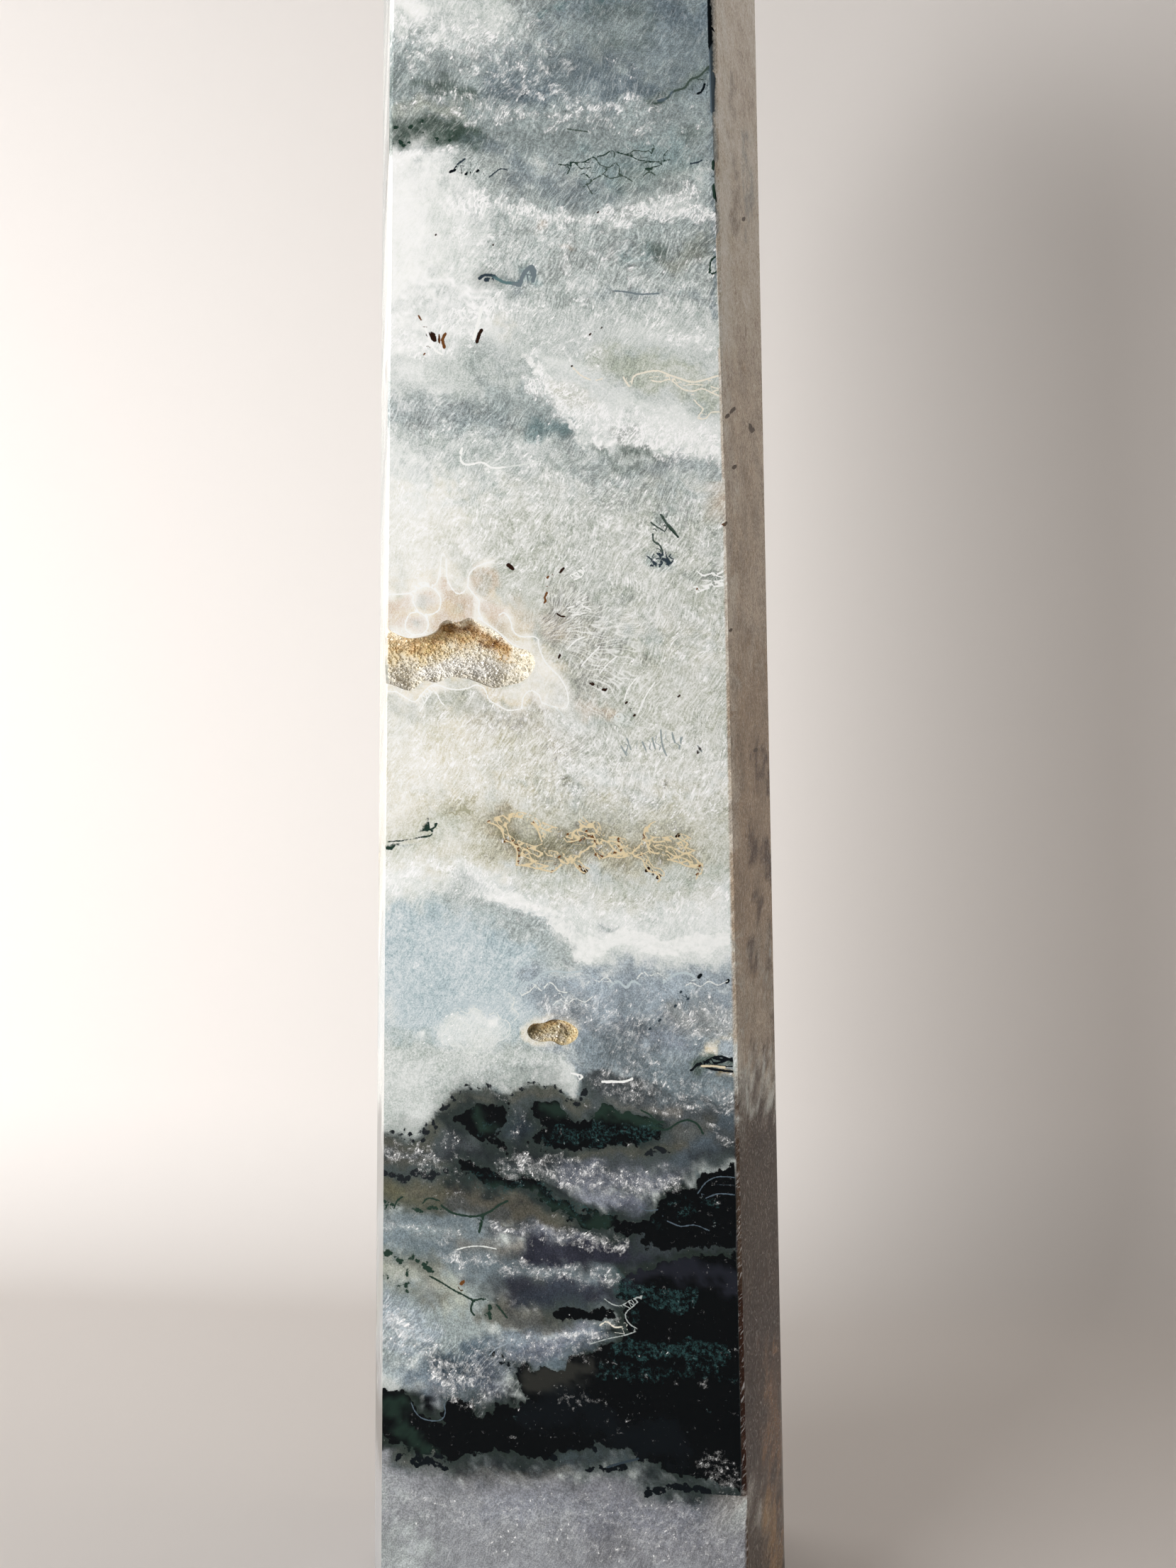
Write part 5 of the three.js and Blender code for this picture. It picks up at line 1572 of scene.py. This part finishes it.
def spray_lines(tree, place):
    """Lens-shaped outlines that fan out from the spray's centre."""
    step = add(tree, "VectorMath", {0: place, 1: SPRAY_CENTRE}, operation="SUBTRACT")
    parts = add(tree, "SeparateXYZ", {0: step})
    angle = add(tree, "Math", {0: parts.outputs["Z"], 1: parts.outputs["X"]}, operation="ARCTAN2")
    reach = add(tree, "VectorMath", {0: step}, operation="LENGTH").outputs["Value"]
    polar = add(tree, "CombineXYZ", {"X": reach, "Y": angle, "Z": 0.0})
    cells = add(tree, "VectorMath", {0: polar, 1: (1 / 4.5, 14.0, 1)}, operation="MULTIPLY")
    return outlines(tree, cells, 0.06, 1.0)


def moss_agate_polished():
    """Polished moss agate: glassy over milky quartz, with crisp white needles and dark moss inside."""
    material = bpy.data.materials.new("moss_agate_polished")
    material.use_nodes = True
    tree = material.node_tree
    shader = tree.nodes["Principled BSDF"]
    shader.inputs["IOR"].default_value = 1.54
    shader.inputs["Roughness"].default_value = 0.1
    shader.inputs["Specular IOR Level"].default_value = 0.1
    spot = add(tree, "TexCoord").outputs["Object"]
    place = add(tree, "VectorMath", {0: spot, 1: (1 / MM,) * 3}, operation="MULTIPLY")
    sway = add(tree, "TexNoise", {"Vector": place, "Scale": 0.1, "Detail": 2.0})
    swayed = add(tree, "VectorMath", {0: sway.outputs["Color"], 1: (5.0,) * 3, 2: place},
                 operation="MULTIPLY_ADD")
    marks = {name: add(tree, "Attribute", attribute_name=name)
             for name in ("tint", "moss_tint", "frost", "growth", "fan", "strand", "strand_tint", "thread",
                          "thread_tint")}
    frost = add(tree, "SeparateXYZ", {0: marks["frost"].outputs["Vector"]}).outputs
    growth = add(tree, "SeparateXYZ", {0: marks["growth"].outputs["Vector"]}).outputs
    inks = {name: (*linear(name), 1) for name in ("snow", "white", "fern", "teal")}

    # The milky ground: clouds of 6 mm, mottles of 1 mm, feathers of 2 mm and grit of a quarter of a millimetre
    clouds = add(tree, "TexNoise", {"Vector": swayed, "Scale": 0.17, "Detail": 4.0})
    clouds = add(tree, "MapRange", {"Value": clouds, "From Min": 0.3, "From Max": 0.7})
    mottles = add(tree, "TexNoise", {"Vector": swayed, "Scale": 0.9, "Detail": 6.0, "Roughness": 0.7})
    mottles = add(tree, "MapRange", {"Value": mottles, "From Min": 0.3, "From Max": 0.7})
    strokes = add(tree, "TexNoise", {"Vector": drawn_out(tree, swayed, 60, 2.0, 0.34), "Scale": 1.0,
                                     "Detail": 4.0, "Roughness": 0.65})
    feathers = add(tree, "MapRange", {"Value": strokes, "From Min": 0.3, "From Max": 0.7})
    feather_contrast = add(tree, "Math", {0: frost["Y"], 1: 0.65}, operation="MULTIPLY")
    plumes = add(tree, "MapRange", {"Value": strokes, "From Min": 0.54, "From Max": 0.64, "To Max": 0.5})
    plumes = add(tree, "Math", {0: plumes, 1: frost["Y"]}, operation="MULTIPLY")
    grit = add(tree, "TexNoise", {"Vector": place, "Scale": 4.0, "Detail": 3.0})
    grit = add(tree, "MapRange", {"Value": grit, "From Min": 0.35, "From Max": 0.65})

    # White masses with a lobed edge
    waves = add(tree, "TexNoise", {"Vector": place, "Scale": 0.8, "Detail": 6.0, "Roughness": 0.7})
    waves = add(tree, "Math", {0: waves, 1: 0.5}, operation="SUBTRACT")
    lobes = add(tree, "TexVoronoi", {"Vector": place, "Scale": 0.9})
    lobes = add(tree, "Math", {0: lobes, 1: 0.45}, operation="SUBTRACT")
    bloom = ragged_edge(tree, growth["Y"], waves, lobes, -0.1, 0.2)
    sugary = add(tree, "MapRange", {"Value": mottles, "To Min": 0.35, "To Max": 1.0})
    bloom = add(tree, "Math", {0: bloom, 1: sugary}, operation="MULTIPLY")

    # Moss: a dark mass with a ragged edge, a murky halo and teal leaves
    halo = ragged_edge(tree, growth["X"], waves, lobes, -2.6, 0.6)
    halo = add(tree, "Math", {0: halo, 1: 0.45}, operation="MULTIPLY")
    mass = ragged_edge(tree, growth["X"], waves, lobes, -0.06, 0.1)
    patches = add(tree, "TexNoise", {"Vector": place, "Scale": 0.45, "Detail": 5.0, "Roughness": 0.75})
    patches = add(tree, "Math", {0: growth["Z"], 1: 0.4, 2: patches}, operation="MULTIPLY_ADD")
    patches = add(tree, "MapRange", {"Value": patches, "From Min": 0.72, "From Max": 0.86})
    leafy = add(tree, "TexNoise", {"Vector": place, "Scale": 1.8, "Detail": 5.0, "Roughness": 0.75})
    leafy = add(tree, "MapRange", {"Value": leafy, "From Min": 0.46, "From Max": 0.64})
    leafy = add(tree, "Math", {0: leafy, 1: patches}, operation="MULTIPLY")

    # Frost: milky clumps with a fine white network and needles in them
    clumps = add(tree, "TexNoise", {"Vector": swayed, "Scale": 0.5, "Detail": 6.0, "Roughness": 0.72})
    milky = crowded(tree, frost["X"], clumps)
    veil = add(tree, "Math", {0: milky, 1: 0.22}, operation="MULTIPLY")
    network = outlines(tree, drawn_out(tree, swayed, 58, 1.6, 0.8), 0.06, 3.0)
    network = add(tree, "Math", {0: network, 1: milky}, operation="MULTIPLY")
    needles_and_glints = [needles(tree, drawn_out(tree, swayed, angle, length, width), milky)
                for angle, length, width in ((52, 2.2, 0.5), (66, 1.5, 0.4))]

    # Sugar: grains that gather in froth, with painted glints that lie every way
    crumbs = add(tree, "TexNoise", {"Vector": place, "Scale": 0.9, "Detail": 5.0, "Roughness": 0.7})
    sugared = crowded(tree, frost["Z"], crumbs)
    dust = add(tree, "Math", {0: sugared, 1: 0.16}, operation="MULTIPLY")
    froth = outlines(tree, drawn_out(tree, place, 70, 0.5, 0.4), 0.04, 1.0)
    froth = add(tree, "Math", {0: froth, 1: sugared}, operation="MULTIPLY")
    froth = add(tree, "Math", {0: froth, 1: 0.7}, operation="MULTIPLY")
    some = add(tree, "Math", {0: sugared, 1: 0.45}, operation="MULTIPLY")
    needles_and_glints += [needles(tree, drawn_out(tree, place, angle, length, width), some)
                 for angle, length, width in ((100, 0.8, 0.36), (35, 1.0, 0.34))]
    fan = marks["fan"].outputs["Fac"]
    fan = add(tree, "Math", {0: spray_lines(tree, swayed), 1: fan}, operation="MULTIPLY")

    # Crisp threads inside the stone, dark ones first
    wobble = add(tree, "TexNoise", {"Vector": place, "Scale": 2.2, "Detail": 3.0})
    wobble = add(tree, "Math", {0: wobble, 1: 0.3, 2: -0.15}, operation="MULTIPLY_ADD")
    strand = line_amount(tree, marks["strand"], wobble)
    thread = line_amount(tree, marks["thread"], wobble)

    layers = [("OVERLAY", 0.2, clouds), ("OVERLAY", 0.25, mottles), ("OVERLAY", feather_contrast, feathers),
              ("OVERLAY", 0.28, grit), ("MIX", plumes, inks["snow"]), ("MIX", bloom, inks["snow"]),
              ("MIX", fan, inks["snow"]), ("MIX", halo, inks["fern"]),
              ("MIX", mass, marks["moss_tint"].outputs["Color"]), ("MIX", leafy, inks["teal"]),
              ("MIX", veil, inks["snow"]), ("MIX", dust, inks["snow"])]
    layers += [("MIX", bright, inks["white"]) for bright in (network, froth, *needles_and_glints)]
    layers += [("MIX", strand, marks["strand_tint"].outputs["Color"]),
               ("MIX", thread, marks["thread_tint"].outputs["Color"])]
    ground = marks["tint"].outputs["Color"]
    for blend, amount, colour in layers:
        ground = add(tree, "MixRGB", {0: amount, 1: ground, 2: colour}, blend_type=blend)
    tree.links.new(ground.outputs[0], shader.inputs["Base Color"])
    return material


def quartz_druse(name):
    """A druse of small quartz points, as grown: glassy facets that sparkle over stained crystal."""
    material = bpy.data.materials.new(name)
    material.use_nodes = True
    tree = material.node_tree
    shader = tree.nodes["Principled BSDF"]
    shader.inputs["IOR"].default_value = 1.54
    shader.inputs["Roughness"].default_value = 0.18
    spot = add(tree, "TexCoord").outputs["Object"]
    place = add(tree, "VectorMath", {0: spot, 1: (1 / MM,) * 3}, operation="MULTIPLY")
    tint = add(tree, "Attribute", attribute_name="tint").outputs["Color"]
    stain = add(tree, "TexNoise", {"Vector": place, "Scale": 1.2, "Detail": 4.0})
    stain = add(tree, "MapRange", {"Value": stain, "From Min": 0.3, "From Max": 0.7})
    stained = add(tree, "MixRGB", {0: 0.25, 1: tint, 2: stain}, blend_type="OVERLAY")
    tree.links.new(stained.outputs[0], shader.inputs["Base Color"])
    return material


ZONES = (paint_ground, paint_top, paint_smoke_band, paint_white_band, paint_pits, paint_clear_zone,
         paint_diagonal, paint_frost_field, paint_main_hollow, paint_spray, paint_warm_field, paint_lace,
         paint_white_cloud, paint_scallops, paint_moss_edge, paint_sparkle_bands, paint_tufts,
         paint_dark_mass, paint_foot, paint_light_veil, paint_edge_shade, paint_right_front_reflection_and_shade)
MAIN_POINTS = 3200
MAIN_POINT_LENGTH = 0.34 * MM
MAIN_SEED = 5
SMALL_POINTS = 500
SMALL_POINT_LENGTH = 0.32 * MM
SMALL_SEED = 9


def painted_tower():
    """The block with both hollows cut in it, painted and polished."""
    tower = polished_block()
    cut_hollow(tower, MAIN_MOUTH, MAIN_FLOOR, MAIN_DEPTH)
    cut_hollow(tower, SMALL_MOUTH, SMALL_FLOOR, SMALL_DEPTH)
    work_on(tower)
    bpy.ops.object.shade_smooth_by_angle(angle=CREASE)
    canvas = Canvas(tower, looked_up(vertices_of(tower)))
    for zone in ZONES:
        zone(canvas)
    canvas.store(tower)
    tower.data.materials.clear()
    tower.data.materials.append(moss_agate_polished())
    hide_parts("tower")
    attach(tower, "root")


painted_tower()
druse("cream_druse", "main_hollow_crust", MAIN_MOUTH, MAIN_FLOOR, MAIN_DEPTH, MAIN_POINTS,
      MAIN_POINT_LENGTH, MAIN_SEED, paint_cream_druse, quartz_druse("quartz_druse_cream"))
druse("golden_druse", "small_hollow_crust", SMALL_MOUTH, SMALL_FLOOR, SMALL_DEPTH, SMALL_POINTS,
      SMALL_POINT_LENGTH, SMALL_SEED, paint_golden_druse, quartz_druse("quartz_druse_golden"))


# The stage and the light, in metres and watts. The low window on the left isn't mirrored by the front.
PAPER = "F0EBE7"
STAGE_HALF = 2.0
SWEEP_Y = 0.16
SWEEP_LEVEL = -0.0002
SWEEP_HEIGHT = 1.6
SWEEP_FOLD = 0.05
FLOOR_LEVEL = -0.0008
WINDOW_PLACE = (-0.7, -0.56, 0.17)
WINDOW_AIM = (0, 0, 0.17)
WINDOW_SIZE = (0.6, 0.3)
WINDOW_POWER = 8.9
WINDOW_TINT = "FFFFFF"
FILL_PLACE = (0.9, 0.1, 0.3)
FILL_AIM = (0, 0, 0.18)
FILL_SIZE = (0.5, 0.5)
FILL_POWER = 2.4
FILL_TINT = "FFF4E8"
ROOM_TINT = "F4EFEC"
ROOM_LIGHT = 0.1
BACKDROP_LIGHT = 0.75


def area_light(name, place, aim, size, power, tint):
    """A soft box that looks at a point, in metres and watts."""
    data = bpy.data.lights.new(name, "AREA")
    data.shape = "RECTANGLE"
    data.size, data.size_y = size
    data.energy = power
    data.color = linear(tint)
    lamp = bpy.data.objects.new(name, data)
    bpy.context.collection.objects.link(lamp)
    lamp.location = place
    lamp.rotation_euler = (Vector(aim) - Vector(place)).to_track_quat("-Z", "Y").to_euler()
    return lamp


def matt_paper():
    """Rolled matt paper, pale and warm. Its back is clear, so that the sweep never hides the tower."""
    material = bpy.data.materials.new("matt_paper_rolled")
    material.use_nodes = True
    tree = material.node_tree
    shader = tree.nodes["Principled BSDF"]
    shader.inputs["Base Color"].default_value = (*linear(PAPER), 1)
    shader.inputs["Roughness"].default_value = 0.9
    shader.inputs["Specular IOR Level"].default_value = 0.1
    back = add(tree, "NewGeometry").outputs["Backfacing"]
    clear = add(tree, "BsdfTransparent")
    sides = add(tree, "MixShader", {0: back, 1: shader, 2: clear})
    tree.links.new(sides.outputs[0], tree.nodes["Material Output"].inputs["Surface"])
    return material


def paper_floor(name, half, back_y, level):
    """A flat sheet of paper round the tower, with its back edge at a given y."""
    bpy.ops.object.select_all(action="DESELECT")
    bpy.ops.mesh.primitive_plane_add(size=1, location=(0, 0, 0))
    sheet = bpy.context.object
    sheet.name = name
    places = vertices_of(sheet)
    places[:, 0] *= 2 * half
    places[:, 1] = np.where(places[:, 1] > 0, back_y, -half)
    places[:, 2] = level
    sheet.data.vertices.foreach_set("co", places.ravel())
    return sheet


def studio():
    """The pale paper sweep and floor, the soft window light, the dim room and the camera."""
    paper = matt_paper()
    sweep = paper_floor("studio_sweep", STAGE_HALF, SWEEP_Y, SWEEP_LEVEL)
    bpy.context.tool_settings.mesh_select_mode = (False, True, False)
    bpy.ops.object.mode_set(mode="EDIT")
    bpy.ops.mesh.select_all(action="DESELECT")
    bpy.ops.object.mode_set(mode="OBJECT")
    rear = vertices_of(sweep)[:, 1] > 0
    for edge in sweep.data.edges:
        edge.select = all(rear[v] for v in edge.vertices)
    bpy.ops.object.mode_set(mode="EDIT")
    bpy.ops.mesh.extrude_region_move(TRANSFORM_OT_translate={"value": (0, 0, SWEEP_HEIGHT)})
    bpy.ops.object.mode_set(mode="OBJECT")
    fold = sweep.modifiers.new("fold", "BEVEL")
    fold.width = SWEEP_FOLD
    fold.segments = 12
    bpy.ops.object.modifier_apply(modifier="fold")
    bpy.ops.object.shade_smooth()
    floor = paper_floor("studio_floor", STAGE_HALF, STAGE_HALF, FLOOR_LEVEL)
    for sheet in (sweep, floor):
        sheet.data.materials.append(paper)
    area_light("window", WINDOW_PLACE, WINDOW_AIM, WINDOW_SIZE, WINDOW_POWER, WINDOW_TINT)
    area_light("far_wall", FILL_PLACE, FILL_AIM, FILL_SIZE, FILL_POWER, FILL_TINT)

    # The room is dim round the stone, and a pale backdrop where nothing else is seen
    world = bpy.data.worlds.new("room")
    bpy.context.scene.world = world
    world.use_nodes = True
    tree = world.node_tree
    dim = tree.nodes["Background"]
    dim.inputs["Color"].default_value = (*linear(ROOM_TINT), 1)
    dim.inputs["Strength"].default_value = ROOM_LIGHT
    pale = add(tree, "Background", {"Color": (*linear(PAPER), 1), "Strength": BACKDROP_LIGHT})
    seen = add(tree, "LightPath").outputs["Is Camera Ray"]
    both = add(tree, "MixShader", {0: seen, 1: dim, 2: pale})
    tree.links.new(both.outputs[0], tree.nodes["World Output"].inputs["Surface"])
    bpy.context.scene.view_settings.view_transform = "Standard"
    camera = bpy.data.objects.new("camera", bpy.data.cameras.new("camera"))
    bpy.context.collection.objects.link(camera)
    camera.location = EYE
    camera.rotation_euler = (math.radians(90), 0, CAMERA_TURN)
    camera.data.lens = SENSOR_MM * FOCAL_PX / PHOTO_HEIGHT
    bpy.context.scene.camera = camera


studio()
